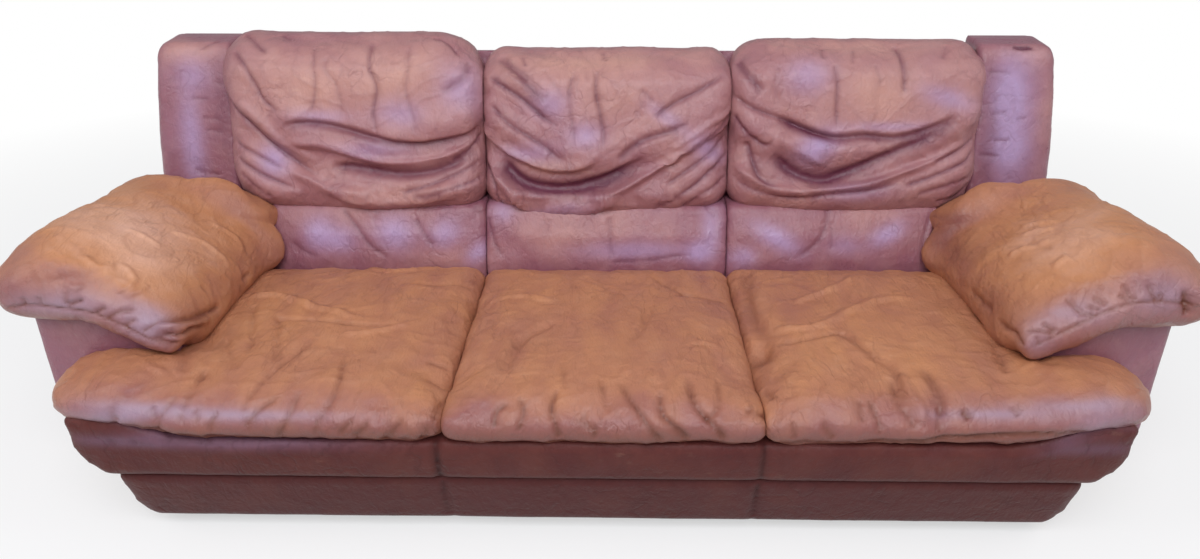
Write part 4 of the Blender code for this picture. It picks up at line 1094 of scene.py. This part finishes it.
            crease(-3, 4, 4, 0.5, (680, 530), (750, 485)),
            crease(-4, 4, 4, 0.6, (510, 470), (570, 430), (640, 420)),
            crease(-4, 4, 4, 0.6, (455, 440), (500, 415)),
            crease(-5, 4, 4, 0.6, (320, 405), (370, 390), (395, 375)),
            crease(-3, 4, 4, 0.5, (590, 505), (640, 470)),
            crease(-3, 4, 4, 0.5, (320, 395), (310, 340)),
            crease(-3, 4, 4, 0.4, (200, 400), (190, 360)),
            crease(-3, 4, 4, 0.4, (120, 400), (110, 365)),
            crease(-4, 5, 5, 0.5, (1270, 270), (1210, 295)),
            crease(-3, 4, 4, 0.3, (1010, 325), (970, 295)),
            roll(3, 5, 5, 0, (560, 230), (610, 250), (640, 300), (600, 330), (540, 335)),
            roll(3, 5, 5, 0, (390, 190), (470, 240), (540, 240)),
            roll(3, 5, 5, 0, (700, 310), (660, 345), (600, 355)),
            roll(3, 6, 6, 0, (300, 290), (350, 320), (400, 300)),
            roll(3, 7, 7, 0, (820, 60), (950, 90), (1050, 150), (1120, 200)),
            roll(3, 7, 7, 0, (1010, 10), (1120, 60), (1190, 130)),
            crease(-3, 6, 6, 0.2, (1080, 20), (1180, 80), (1220, 150)),
            roll(2.5, 6, 6, 0, (600, 60), (720, 110), (760, 140)),
            crease(
                -3, 2.5, 2.5, 0.55, (20, 420), (150, 402), (300, 415), (420, 435), (560, 490), (700, 555),
                (850, 607),
            ),
        ),
        patches=(
            Patch(Channel.WORN, (-97, -12, 55), 15, 17, 0.9),
            Patch(Channel.WORN, (-86, 6, 55), 9, 9, 0.4),
            Smudge(Channel.PAINTED_SHEEN, (300, 400), 30, 5, 0.75),
            Smudge(Channel.PAINTED_SHEEN, (700, 500), 14, 7, 0.8),
            Smudge(Channel.PAINTED_SHADE, (1000, 470), 14, 8, 0.25),
            Smudge(Channel.WORN, (700, 200), 24, 20, 0.45),
            Smudge(Channel.RISE, (600, 150), 26, 26, 8),
        ),
    ),
    Sketch(
        "arm_pad_right",
        Region.ARM_RIGHT,
        folds=(
            crease(-4, 4, 4, 0.5, (1240, 390), (1210, 360), (1180, 350)),
            crease(-4, 4, 4, 0.5, (1130, 400), (1060, 360)),
            crease(-4, 4, 4, 0.5, (1100, 420), (1030, 400)),
            crease(-4, 4, 4, 0.5, (1060, 440), (990, 440)),
            crease(-4, 4, 4, 0.5, (1000, 430), (960, 390), (930, 370)),
            crease(-4, 4, 4, 0.5, (890, 530), (810, 480)),
            crease(-4, 4, 4, 0.5, (880, 540), (730, 515)),
            crease(-3, 4, 4, 0.4, (800, 590), (790, 550)),
            crease(-3, 4, 4, 0.5, (1270, 380), (1240, 350), (1200, 300)),
            crease(-3, 4, 4, 0.4, (1360, 385), (1340, 340), (1320, 300)),
            crease(-3, 4, 4, 0.4, (1390, 385), (1380, 350)),
            crease(-7, 5, 5, 0.9, (1500, 450), (1495, 400), (1500, 330)),
            roll(5, 8, 8, 0, (1540, 330), (1560, 400)),
            roll(3, 6, 6, 0, (720, 40), (800, 20), (900, 10)),
            roll(3, 6, 6, 0, (870, 50), (800, 60), (720, 80)),
            roll(3, 7, 7, 0, (940, 180), (900, 210), (880, 240)),
            roll(3, 7, 7, 0, (660, 170), (740, 140), (860, 110)),
            crease(-3, 7, 7, 0.15, (640, 130), (760, 120), (880, 150)),
            crease(-4, 6, 6, 0.4, (540, 420), (470, 360), (430, 330)),
            crease(-5, 8, 8, 0.5, (720, 600), (620, 520), (560, 470)),
            crease(
                -3, 3, 3, 0.55, (1560, 400), (1400, 390), (1250, 395), (1130, 430), (1000, 490),
                (880, 550), (750, 610),
            ),
        ),
        patches=(
            Patch(Channel.WORN, (97, -12, 55), 15, 15, 0.5),
            Smudge(Channel.PAINTED_SHEEN, (1000, 430), 22, 5, 0.55),
            Smudge(Channel.PAINTED_SHEEN, (1400, 360), 14, 6, 0.6),
            Smudge(Channel.PAINTED_SHEEN, (780, 570), 10, 8, 0.4),
            Smudge(Channel.PAINTED_SHADE, (350, 100), 12, 22, 0.5),
            Smudge(Channel.PAINTED_SHADE, (560, 380), 10, 14, 0.35),
            Smudge(Channel.WORN, (900, 180), 22, 16, 0.35),
            Smudge(Channel.WORN, (330, 150), 8, 30, -0.3),
            Smudge(Channel.RISE, (900, 120), 26, 26, 8),
        ),
    ),
    Sketch(
        "kick_panel_front",
        folds=(
            crease(-4, 4, 4, 0.8, (-29.5, -43.6, 15), (-29.5, -43.6, 9), (-29.5, -43.2, 3)),
            crease(-4, 4, 4, 0.8, (30.7, -43.6, 15), (30.7, -43.6, 9), (30.7, -43.2, 3)),
        ),
    ),
    Sketch(
        "front_rail_pad",
        Region.ARM_LEFT,
        folds=(
            crease(
                -5, 5, 5, 0.9, (-29.5, -45.0, 26.5), (-29.5, -46.6, 23), (-29.5, -46.6, 18),
                (-29.5, -45, 13),
            ),
            crease(
                -5, 5, 5, 0.9, (30.7, -45.0, 26.5), (30.7, -46.6, 23), (30.7, -46.6, 18), (30.7, -45, 13),
            ),
            crease(-3, 5, 5, 0.4, (820, 1060), (780, 1010)),
            crease(-3, 5, 5, 0.35, (560, 1060), (545, 1010)),
            crease(-3, 4, 4, 0.3, (660, 1050), (650, 1010)),
            crease(-3, 4, 4, 0.3, (1010, 1070), (990, 1030)),
        ),
        patches=(
            Smudge(Channel.PAINTED_SHEEN, (600, 1020), 14, 13, 0.7),
            Smudge(Channel.PAINTED_SHEEN, (1250, 1060), 10, 14, 0.6),
        ),
    ),
    Sketch(
        "front_rail_pad",
        Region.ARM_RIGHT,
        folds=(
            crease(-3, 4, 4, 0.35, (780, 1070), (790, 1020)),
            crease(-3, 4, 4, 0.35, (830, 1060), (840, 1010)),
            crease(-3, 4, 4, 0.35, (1010, 1070), (970, 1010)),
        ),
        patches=(
            Smudge(Channel.PAINTED_SHEEN, (850, 1030), 12, 14, 0.8),
            Smudge(Channel.PAINTED_SHEEN, (1120, 1010), 6, 14, 0.6),
        ),
    ),
    Sketch(
        "front_rail_pad",
        Region.SEATS_LEFT,
        folds=(
            crease(-2, 4, 4, 0.3, (640, 667), (632, 652)),
        ),
        patches=(
            Smudge(Channel.PAINTED_SHEEN, (150, 640), 10, 12, 0.7),
        ),
    ),
)


@dataclass(frozen=True)
class Corner:
    """A rounded corner of a cover's outline, seen from the front or from above."""

    side: float
    up: float
    radius: float
    from_above: bool = False

    def round_off(self, points: np.ndarray, low: np.ndarray, high: np.ndarray) -> None:
        """Draws the points of the corner in on to its arc.

        Args:
            points: The cover's points, which are changed.
            low: The lowest corner of the cover's box.
            high: The highest corner of the cover's box.
        """
        plane = [0, 1] if self.from_above else [0, 2]
        signs = np.array((self.side, self.up))
        edge = np.where(signs > 0, high[plane], low[plane])
        middle = edge - signs * self.radius
        beyond = (points[:, plane] - middle) * signs
        chosen = np.all(beyond > 0, axis=1)
        picked = beyond[chosen]
        reach = np.maximum(np.linalg.norm(picked, axis=1), 1e-9)
        turn = np.arctan2(picked[:, 1], picked[:, 0]) / (math.pi / 2)
        outline = np.zeros(ARC_CELLS)
        np.maximum.at(outline, np.minimum((turn * ARC_CELLS).astype(int), ARC_CELLS - 1), reach)
        outline[outline == 0] = self.radius
        middles = (np.arange(ARC_CELLS) + 0.5) / ARC_CELLS
        wanted = outline[0] + (outline[-1] - outline[0]) * middles
        picked *= np.interp(turn, middles, wanted / outline)[:, None]
        for k, axis in enumerate(plane):
            points[chosen, axis] = middle[k] + signs[k] * picked[:, k]


@dataclass(frozen=True)
class Stuffing:
    """How a cover is filled: its grid, its softness and its cloth simulation."""

    voxel: float
    smooth: int
    plump: float = 0.0
    pressure: float = 0.0
    slack: float = 0.0
    cap: float = 0.012
    refine: bool = False


@dataclass(frozen=True)
class PadFit:
    """How far an arm pad is drawn out of its solid to meet its neighbours, in metres."""

    foot_back: float = 0.055
    inward: float = 0.046
    shoulder_up: float = 0.034
    front_up: float = 0.026


def add_object(name: str, mesh: bpy.types.Mesh) -> bpy.types.Object:
    """Adds an object with this mesh to the scene."""
    piece = bpy.data.objects.new(name, mesh)
    bpy.context.scene.collection.objects.link(piece)
    return piece


def baked(piece: bpy.types.Object) -> None:
    """Applies every modifier of a piece to its mesh."""
    graph = bpy.context.evaluated_depsgraph_get()
    mesh = bpy.data.meshes.new_from_object(piece.evaluated_get(graph))
    piece.modifiers.clear()
    old = piece.data
    piece.data = mesh
    bpy.data.meshes.remove(old)


def points_of(mesh: bpy.types.Mesh) -> np.ndarray:
    """Returns the positions of a mesh's vertices."""
    flat = np.empty(len(mesh.vertices) * 3)
    mesh.vertices.foreach_get("co", flat)
    return flat.reshape(-1, 3)


def normals_of(mesh: bpy.types.Mesh) -> np.ndarray:
    """Returns the directions of a mesh's vertices."""
    flat = np.empty(len(mesh.vertices) * 3)
    mesh.vertex_normals.foreach_get("vector", flat)
    return flat.reshape(-1, 3)


def move_points(mesh: bpy.types.Mesh, points: np.ndarray) -> None:
    """Sets the positions of a mesh's vertices."""
    mesh.vertices.foreach_set("co", points.ravel())
    mesh.update()


def store(mesh: bpy.types.Mesh, name: str, values: np.ndarray) -> None:
    """Stores a number at each vertex."""
    layer = mesh.attributes.new(name, "FLOAT", "POINT")
    layer.data.foreach_set("value", values.astype(np.float32))


def ramp_up(low: float, high: float, values: np.ndarray) -> np.ndarray:
    """Returns 0 below low, 1 above high and an S curve between them."""
    share = np.clip((values - low) / (high - low), 0.0, 1.0)
    return share * share * (3 - 2 * share)


def rough_field(points: np.ndarray, scale: float, seed: float) -> np.ndarray:
    """Returns smooth noise from about -1 to 1 at each point."""
    shift = Vector((seed, seed * 1.7, -seed))
    return np.array([noise.noise(Vector(point) * scale + shift) for point in points])


@dataclass
class Cover:
    """A padded leather cover that stands for one node of the frame.

    Lengths are in metres. Room is how far the cover may stand out of its box, and waviness scales its
    noise. Worn is its even wear; the front setting says how much less rubbed its front is, and how much
    painted shade darkens its lower front. Hem is the sag of its lower edge, and hug how far an arm pad
    sinks on to the seat. Widen, heighten and back move the limits of its box, and lift raises its outer
    front ends, all of them or only above a kept foot.
    Gain scales the height of its folds, tone their painted shade, and grip the direction of its creases.
    """

    node: str
    finish: Leather
    stuffing: Stuffing
    room: tuple[float, float, float] = (0.0, 0.0, 0.0)
    waviness: float = 1.2
    worn: float = 0.0
    fill: float = 0.6
    is_pad: bool = True
    corners: tuple[Corner, ...] = ()
    hem: float = 0.0
    widen: float = 0.0
    heighten: float = 0.0
    front_wear_and_shade: float = 0.0
    hug: float = 0.0
    lift: float = 0.0
    keeps_foot: bool = False
    gain: float = 1.0
    tone: float = 1.0
    back: float = 0.0
    grip: Point = (1.0, 1.0, 1.0)

    def build(self, materials: dict[str, bpy.types.Material], frame: dict[str, Any]) -> bpy.types.Object:
        """Makes the cover, dresses it and puts it in the place of its node.

        Args:
            materials: The finished materials by name.
            frame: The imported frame.

        Returns:
            The new piece.
        """
        source = frame["nodes"][self.node]
        piece = self._copy(source)
        self._remesh(piece)
        self._shape(piece.data)
        self._soften(piece)
        if self.stuffing.pressure:
            self._inflate(piece)
        if self.stuffing.refine:
            self._refine(piece)
        self._sculpt(piece.data, Canvas(self.node, source))
        piece.data.shade_smooth()
        piece.data.materials.append(materials[self.finish.name])
        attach(piece, "root")
        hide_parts(self.node)
        LOG.info("%s: %d faces", piece.name, len(piece.data.polygons))
        return piece

    def _copy(self, source: bpy.types.Object) -> bpy.types.Object:
        """Returns a merged copy of the node's mesh as a new piece."""
        bm = merged_copy(source)
        mesh = bpy.data.meshes.new(f"{self.node}_cover")
        bm.to_mesh(mesh)
        bm.free()
        mesh.materials.clear()
        return add_object(f"{self.node}_cover", mesh)

    def _remesh(self, piece: bpy.types.Object) -> None:
        """Gives the piece an even surface."""
        remesh = piece.modifiers.new("Even", "REMESH")
        remesh.mode = "VOXEL"
        remesh.voxel_size = self.stuffing.voxel
        baked(piece)

    def _soften(self, piece: bpy.types.Object) -> None:
        """Rounds the steps of the solid."""
        soften = piece.modifiers.new("Soften", "SMOOTH")
        soften.factor = 0.5
        soften.iterations = self.stuffing.smooth
        baked(piece)

    @staticmethod
    def _refine(piece: bpy.types.Object) -> None:
        """Divides every face of the piece once."""
        finer = piece.modifiers.new("Finer", "SUBSURF")
        finer.levels = 1
        finer.render_levels = 1
        baked(piece)

    def _inflate(self, piece: bpy.types.Object) -> None:
        """Fills the cover by cloth simulation and holds it near its solid."""
        start = points_of(piece.data)
        cloth = piece.modifiers.new("Filling", "CLOTH")
        cloth.settings.quality = 5
        cloth.settings.mass = 0.3
        cloth.settings.tension_stiffness = 12
        cloth.settings.compression_stiffness = 12
        cloth.settings.bending_stiffness = 0.6
        cloth.settings.use_pressure = True
        cloth.settings.uniform_pressure_force = self.stuffing.pressure
        cloth.settings.shrink_min = -self.stuffing.slack
        cloth.settings.effector_weights.gravity = 0
        cloth.collision_settings.use_collision = False
        for step in range(1, FILL_FRAMES + 1):
            bpy.context.scene.frame_set(step)
        baked(piece)
        bpy.context.scene.frame_set(1)
        moved = points_of(piece.data) - start
        far = np.linalg.norm(moved, axis=1, keepdims=True)
        capped = moved * np.minimum(1.0, self.stuffing.cap / np.maximum(far, 1e-9))
        move_points(piece.data, start + capped)

    def _limits(self) -> tuple[np.ndarray, np.ndarray]:
        """Returns the lowest and highest corner that the cover fills."""
        low, high = (np.array(corner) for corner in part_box(self.node))
        if low[0] < -OUTER_X:
            low[0] -= self.widen
        if high[0] > OUTER_X:
            high[0] += self.widen
        high[1] += self.back
        high[2] += self.heighten
        low[2] -= self.hem + self.hug
        return low, high

    def _shape(self, mesh: bpy.types.Mesh) -> None:
        """Gives the even surface its outline: rounded corners, a sagging hem, a hugged seat."""
        low, high = (np.array(corner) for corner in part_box(self.node))
        points = points_of(mesh)
        for corner in self.corners:
            corner.round_off(points, low, high)
        self._drop_hem(points, low, high)
        out = np.abs(points[:, 0])
        if self.lift:
            ear = ramp_up(*EAR_BAND, out) * (1 - ramp_up(*EAR_DEPTH, points[:, 1]))
            share = ramp_up(low[2], high[2], points[:, 2]) if self.keeps_foot else 1.0
            points[:, 2] += self.lift * ear * share
        if self.hug:
            self._settle_pad(points, out)
        move_points(mesh, points)

    def _settle_pad(self, points: np.ndarray, out: np.ndarray) -> None:
        """Fills the arm pad out towards the back and settles it on the seat."""
        fit = PadFit()
        foot = (1 - ramp_up(0.84, 0.92, out)) * (1 - ramp_up(0.42, 0.48, points[:, 2]))
        points[:, 1] += fit.foot_back * foot * ramp_up(0.04, 0.13, points[:, 1])
        rear = ramp_up(0.125, 0.180, points[:, 1])
        points[:, 0] -= np.sign(points[:, 0]) * fit.inward * rear * (1 - ramp_up(0.84, 0.95, out))
        shoulder = ramp_up(0.06, 0.17, points[:, 1]) * (1 - ramp_up(0.83, 0.99, out))
        points[:, 2] += fit.shoulder_up * shoulder * ramp_up(0.43, 0.50, points[:, 2])
        front = 1 - ramp_up(-0.33, -0.20, points[:, 1])
        share = (out - out.min()) / (out.max() - out.min())
        cells = np.minimum((share * PAD_CELLS).astype(int), PAD_CELLS - 1)
        bottoms = np.full(PAD_CELLS, points[:, 2].max())
        np.minimum.at(bottoms, cells[front > 0], points[front > 0, 2])
        above = points[:, 2] - np.interp(share, (np.arange(PAD_CELLS) + 0.5) / PAD_CELLS, bottoms)
        inner = 1 - ramp_up(0.80, 0.89, out)
        drop = self.hug * inner * (1 - front) * (1 - ramp_up(0.36, 0.46, points[:, 2]))
        points[:, 2] += fit.front_up * front * (1 - ramp_up(0.0, 0.10, above)) - drop

    def _drop_hem(self, points: np.ndarray, low: np.ndarray, high: np.ndarray) -> None:
        """Lets the lower front edge sag between its two ends."""
        across = (points[:, 0] - low[0]) / (high[0] - low[0])
        lower = 1 - ramp_up(low[2] + 0.01, low[2] + 0.14, points[:, 2])
        front = 1 - ramp_up(low[1] + 0.06, low[1] + 0.10, points[:, 1])
        sag = self.hem * np.sin(np.pi * np.clip(across, 0, 1)) ** 0.8 * lower * front
        points[:, 2] -= sag
        points[:, 1] -= sag * 0.45

    def _sculpt(self, mesh: bpy.types.Mesh, canvas: Canvas) -> None:
        """Moves the points into the folds that land on the canvas, and stores wear, painted shade and
        painted sheen.
        """
        sketches = [sketch for sketch in SKETCHES if sketch.node == self.node]
        patches = [patch.on(canvas, sketch.region) for sketch in sketches for patch in sketch.patches]
        folds = [fold.on(canvas, sketch.region) for sketch in sketches for fold in sketch.folds]
        low, high = self._limits()
        points = points_of(mesh)
        normals = normals_of(mesh)
        first = points.min(axis=0)
        last = points.max(axis=0)
        points = low + (points - first) * (high - low) / (last - first)
        points += normals * self.stuffing.plump
        channels = {channel: np.zeros(len(points)) for channel in Channel}
        channels[Channel.WORN] += self.worn
        for patch in patches:
            channels[patch.channel] += patch.profile(points, normals)
        # Front-facing surfaces stay less rubbed, and below the seat's nose they darken with painted shade.
        front = ramp_up(-0.15, 1.15, -normals[:, 1] + rough_field(points, 6.0, 2.0) * 0.25)
        channels[Channel.WORN] -= self.front_wear_and_shade * front
        under = 1 - ramp_up(0.262, 0.315, points[:, 2])
        channels[Channel.PAINTED_SHADE] += 0.95 * self.front_wear_and_shade * front * under
        rise = channels[Channel.RISE] / 1000
        # Each fold lifts or sinks the surface and lays painted shade along its path.
        for fold in folds:
            strength = fold.profile(points, normals)
            rise += strength * fold.lift * self.gain / 1000
            channels[Channel.PAINTED_SHADE] += strength * fold.dark * self.tone
        for scale, share in ((8.0, 0.9), (22.0, 0.35), (60.0, 0.10)):
            rise += rough_field(points, scale, 3.1 + scale) * share * self.waviness / 1000
        drift = np.column_stack([rough_field(points, 9.0, seed) for seed in (1.0, 5.0, 9.0)])
        crumple = rough_field(points + drift * 0.05, 17.0, 7.0)
        sharp = np.clip(1 - np.abs(crumple) * 4, 0, 1) ** 2
        rise += sharp * self.waviness * 0.5 / 1000
        # Painted shade along the crumple lines.
        channels[Channel.PAINTED_SHADE] += 0.10 * sharp
        drawn = rough_field(points * np.array(self.grip) + drift * 0.03, 15.0, 11.0)
        channels[Channel.WORN] += 0.26 * drawn
        rise += drawn * self.waviness * 0.7 / 1000
        moved = points + normals * rise[:, None]
        room = np.array(self.room)
        moved = np.clip(moved, low - room, high + room)
        move_points(mesh, moved)
        # The attributes hold the wear, the painted shade and the painted sheen.
        store(mesh, Channel.WORN.value, channels[Channel.WORN])
        store(mesh, Channel.PAINTED_SHADE.value, channels[Channel.PAINTED_SHADE])
        store(mesh, Channel.PAINTED_SHEEN.value, channels[Channel.PAINTED_SHEEN])


@dataclass
class SeatRow:
    """The three seat cushions."""

    stuffing: Stuffing = Stuffing(0.010, 4, plump=0.009, pressure=4.0, slack=0.02, cap=0.012, refine=True)

    def covers(self) -> list[Cover]:
        """Returns the covers of the row."""
        return [
            Cover(
                f"seat_cushion_{side}",
                TAN,
                self.stuffing,
                worn=0.75,
                room=(0.0, 0.012, 0.008),
                waviness=4.2,
                gain=2.2,
                tone=1.7,
                grip=(1.5, 0.45, 1.0),
                widen=0.0 if sign == 0 else 0.024,
                heighten=0.0 if sign == 0 else 0.020,
                lift=0.0 if sign == 0 else 0.034,
                corners=() if sign == 0 else (Corner(sign, -1, 0.12, True), Corner(sign, -1, 0.04)),
                front_wear_and_shade=0.8,
            )
            for side, sign in (("left", -1), ("centre", 0), ("right", 1))
        ]


@dataclass
class BackRow:
    """The three draped back cushions, the pads below them and the wings beside them."""

    puff: Stuffing = Stuffing(0.008, 5, plump=0.008, pressure=4.0, slack=0.02, cap=0.010, refine=True)
    pad: Stuffing = Stuffing(0.0050, 6, plump=0.006)
    wing: Stuffing = Stuffing(0.0050, 10, plump=0.004)
    shoulders: tuple[tuple[str, float, float, float], ...] = (
        ("left", 0.060, 0.115, -0.007),
        ("centre", 0.055, 0.060, -0.043),
        ("right", 0.085, 0.065, -0.021),
    )

    def covers(self) -> list[Cover]:
        """Returns the covers of the row."""
        covers = []
        for side, left, right, top in self.shoulders:
            puff = Cover(
                f"back_cushion_{side}",
                MAUVE,
                self.puff,
                worn=0.45,
                room=(0.0, 0.020, 0.012),
                corners=(
                    Corner(-1, 1, left),
                    Corner(1, 1, right),
                    Corner(-1, -1, 0.05),
                    Corner(1, -1, 0.05),
                ),
                hem=0.026,
                heighten=top,
                waviness=2.6,
                gain=1.5,
                tone=1.3,
            )
            pad = Cover(
                f"lumbar_pad_{side}",
                MAUVE,
                self.pad,
                worn=0.12,
                room=(0.0, 0.010, 0.0),
            )
            covers += [puff, pad]
        for side, sign in (("left", -1), ("right", 1)):
            covers.append(
                Cover(
                    f"back_wing_{side}",
                    MAUVE,
                    self.wing,
                    worn=0.05,
                    room=(0.008, 0.01, 0.0),
                    corners=(Corner(sign, 1, 0.055), Corner(sign, -1, 0.06)),
                    heighten=-0.018,
                    back=0.026,
                )
            )
        return covers


@dataclass
class Arms:
    """The arm pads and the leather fronts of the arms."""

    stuffing: Stuffing = Stuffing(0.010, 22, plump=0.006, pressure=4.0, slack=0.02, cap=0.012, refine=True)
    front: Stuffing = Stuffing(0.0050, 3, plump=0.002)

    def covers(self) -> list[Cover]:
        """Returns the covers of both arms."""
        covers = []
        for side, sign in (("left", -1), ("right", 1)):
            covers.append(
                Cover(
                    f"arm_pad_{side}",
                    TAN,
                    self.stuffing,
                    worn=0.8,
                    room=(0.012, 0.01, 0.012),
                    waviness=3.4,
                    corners=(Corner(sign, -1, 0.075, True),),
                    front_wear_and_shade=0.8,
                    hug=0.022,
                    gain=1.8,
                    tone=1.3,
                    grip=(0.8, 1.2, 1.0),
                )
            )
            covers.append(
                Cover(
                    f"arm_front_panel_{side}",
                    MAUVE,
                    self.front,
                    waviness=0.8,
                    widen=0.018,
                    is_pad=False,
                )
            )
        return covers


@dataclass
class Base:
    """The padded front rail and the kick panel."""

    stuffing: Stuffing = Stuffing(0.0050, 3, plump=0.004)

    def covers(self) -> list[Cover]:
        """Returns the covers of the base."""
        rail = Cover(
            "front_rail_pad",
            DARK,
            self.stuffing,
            worn=0.2,
            waviness=0.8,
            room=(0.0, 0.006, 0.0),
            widen=0.032,
            heighten=0.040,
            lift=0.050,
            keeps_foot=True,
            corners=(Corner(-1, -1, 0.075), Corner(1, -1, 0.075)),
        )
        kick = Cover(
            "kick_panel_front",
            DARK,
            self.stuffing,
            waviness=0.5,
            room=(0.004, 0.004, 0.0),
            corners=(Corner(-1, -1, 0.06), Corner(1, -1, 0.06)),
        )
        return [rail, kick]


@dataclass
class Studio:
    """The floor, the lamps, the world and the camera."""

    view: Viewpoint = Viewpoint()

    def build(self) -> None:
        """Makes the studio."""
        self._floor()
        self._lamp("front_softbox", (0.0, -2.6, 3.0), (0.0, 0.0, 0.45), 2.2, 94.0, (0.95, 0.96, 1.0))
        self._lamp("left_softbox", (-3.0, -1.2, 2.4), (0.0, 0.0, 0.45), 1.8, 26.0, (1.0, 0.98, 0.96))
        self._lamp("right_softbox", (3.0, -0.6, 2.6), (0.0, 0.0, 0.45), 1.8, 20.0, (1.0, 0.97, 0.94))
        self._world()
        self._camera()

    def _floor(self) -> None:
        """Adds the pale floor."""
        bm = bmesh.new()
        bmesh.ops.create_grid(bm, x_segments=1, y_segments=1, size=9.0)
        mesh = bpy.data.meshes.new("floor")
        bm.to_mesh(mesh)
        bm.free()
        floor = add_object("floor", mesh)
        tree = ShaderTree("pale_floor")
        ray = tree.add("ShaderNodeLightPath", output="Is Camera Ray")
        glossy = tree.add("ShaderNodeLightPath", output="Is Glossy Ray")
        seen = (ray + glossy).clamped()
        base = tree.blend(seen, (0.62, 0.62, 0.62), (0.95, 0.95, 0.95))
        place = tree.add("ShaderNodeVectorMath", {"operation": "LENGTH"}, {0: tree.coordinates()}, "Value")
        far = tree.ramp(place * 0.1, (0.13, 0.55), (0.40, 1.0)) * seen
        pale = tree.add("ShaderNodeEmission", inputs={"Color": (1.0, 1.0, 1.0), "Strength": 1.0})
        matt = tree.add("ShaderNodeBsdfDiffuse", inputs={"Color": base})
        both = tree.add("ShaderNodeMixShader", inputs={0: far, 1: matt, 2: pale})
        tree.add("ShaderNodeOutputMaterial", inputs={"Surface": both})
        mesh.materials.append(tree.material)

    @staticmethod
    def _lamp(
        name: str,
        place: tuple[float, float, float],
        target: tuple[float, float, float],
        size: float,
        power: float,
        colour: Colour,
    ) -> None:
        """Adds a square soft lamp that points at a target."""
        light = bpy.data.lights.new(name, "AREA")
        light.size = size
        light.energy = power
        light.color = colour
        lamp = bpy.data.objects.new(name, light)
        bpy.context.scene.collection.objects.link(lamp)
        lamp.location = place
        lamp.rotation_euler = (Vector(target) - Vector(place)).to_track_quat("-Z", "Y").to_euler()

    @staticmethod
    def _world() -> None:
        """Makes a white backdrop that lights the object softly."""
        world = bpy.data.worlds.new("studio")
        world.use_nodes = True
        bpy.context.scene.world = world
        nodes = world.node_tree.nodes
        links = world.node_tree.links
        nodes.clear()
        path = nodes.new("ShaderNodeLightPath")
        either = nodes.new("ShaderNodeMath")
        either.operation = "MAXIMUM"
        links.new(path.outputs["Is Camera Ray"], either.inputs[0])
        links.new(path.outputs["Is Transmission Ray"], either.inputs[1])
        soft = nodes.new("ShaderNodeBackground")
        soft.inputs["Color"].default_value = (0.93, 0.95, 1.0, 1.0)
        soft.inputs["Strength"].default_value = 0.36
        white = nodes.new("ShaderNodeBackground")
        white.inputs["Color"].default_value = (1.0, 1.0, 1.0, 1.0)
        mix = nodes.new("ShaderNodeMixShader")
        output = nodes.new("ShaderNodeOutputWorld")
        links.new(either.outputs[0], mix.inputs[0])
        links.new(soft.outputs[0], mix.inputs[1])
        links.new(white.outputs[0], mix.inputs[2])
        links.new(mix.outputs[0], output.inputs["Surface"])

    def _camera(self) -> None:
        """Adds the camera and makes it the scene's own."""
        camera = bpy.data.objects.new("camera", bpy.data.cameras.new("camera"))
        bpy.context.scene.collection.objects.link(camera)
        camera.location = self.view.eye
        camera.rotation_euler = self.view.rotation()
        camera.data.lens = self.view.lens
        camera.data.sensor_width = self.view.sensor
        camera.data.sensor_fit = "HORIZONTAL"
        bpy.context.scene.camera = camera


@dataclass
class Carcass:
    """The nodes of the frame that keep their own shape and get a finish."""

    def dress(self, frame: dict[str, Any], materials: dict[str, bpy.types.Material]) -> None:
        """Gives every node its finish by its place in the sofa."""
        for name, node in frame["nodes"].items():
            finish = self._finish_of(name)
            for slot in node.material_slots:
                slot.material = materials[finish]

    @staticmethod
    def _finish_of(name: str) -> str:
        """Returns the name of a node's finish."""
        if "webbing" in name:
            return "elastic_webbing"
        if name == "dust_cloth":
            return "dust_cloth"
        if name.startswith("glide"):
            return "black_nylon"
        if "panel" in name:
            return "mauve_leather" if name.startswith("arm") else "dark_leather"
        if "roll" in name:
            return "mauve_leather"
        return "sawn_pine"


def main() -> None:
    """Builds the dressed sofa."""
    logging.basicConfig(level=logging.INFO, format="%(message)s")
    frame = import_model()
    bpy.context.scene.view_settings.view_transform = "Standard"
    finishes = (
        MAUVE,
        TAN,
        DARK,
        Timber(),
        Woven("elastic_webbing", (0.30, 0.26, 0.21), (0.10, 0.085, 0.07), 0.004),
        Woven("dust_cloth", (0.045, 0.045, 0.045), (0.012, 0.012, 0.012), 0.0015),
        Plastic("black_nylon", (0.03, 0.03, 0.032)),
    )
    materials = {finish.name: finish.material() for finish in finishes}
    Carcass().dress(frame, materials)
    for group in (SeatRow(), BackRow(), Arms(), Base()):
        for cover in group.covers():
            cover.build(materials, frame)
    Studio().build()


if __name__ == "__main__":
    main()
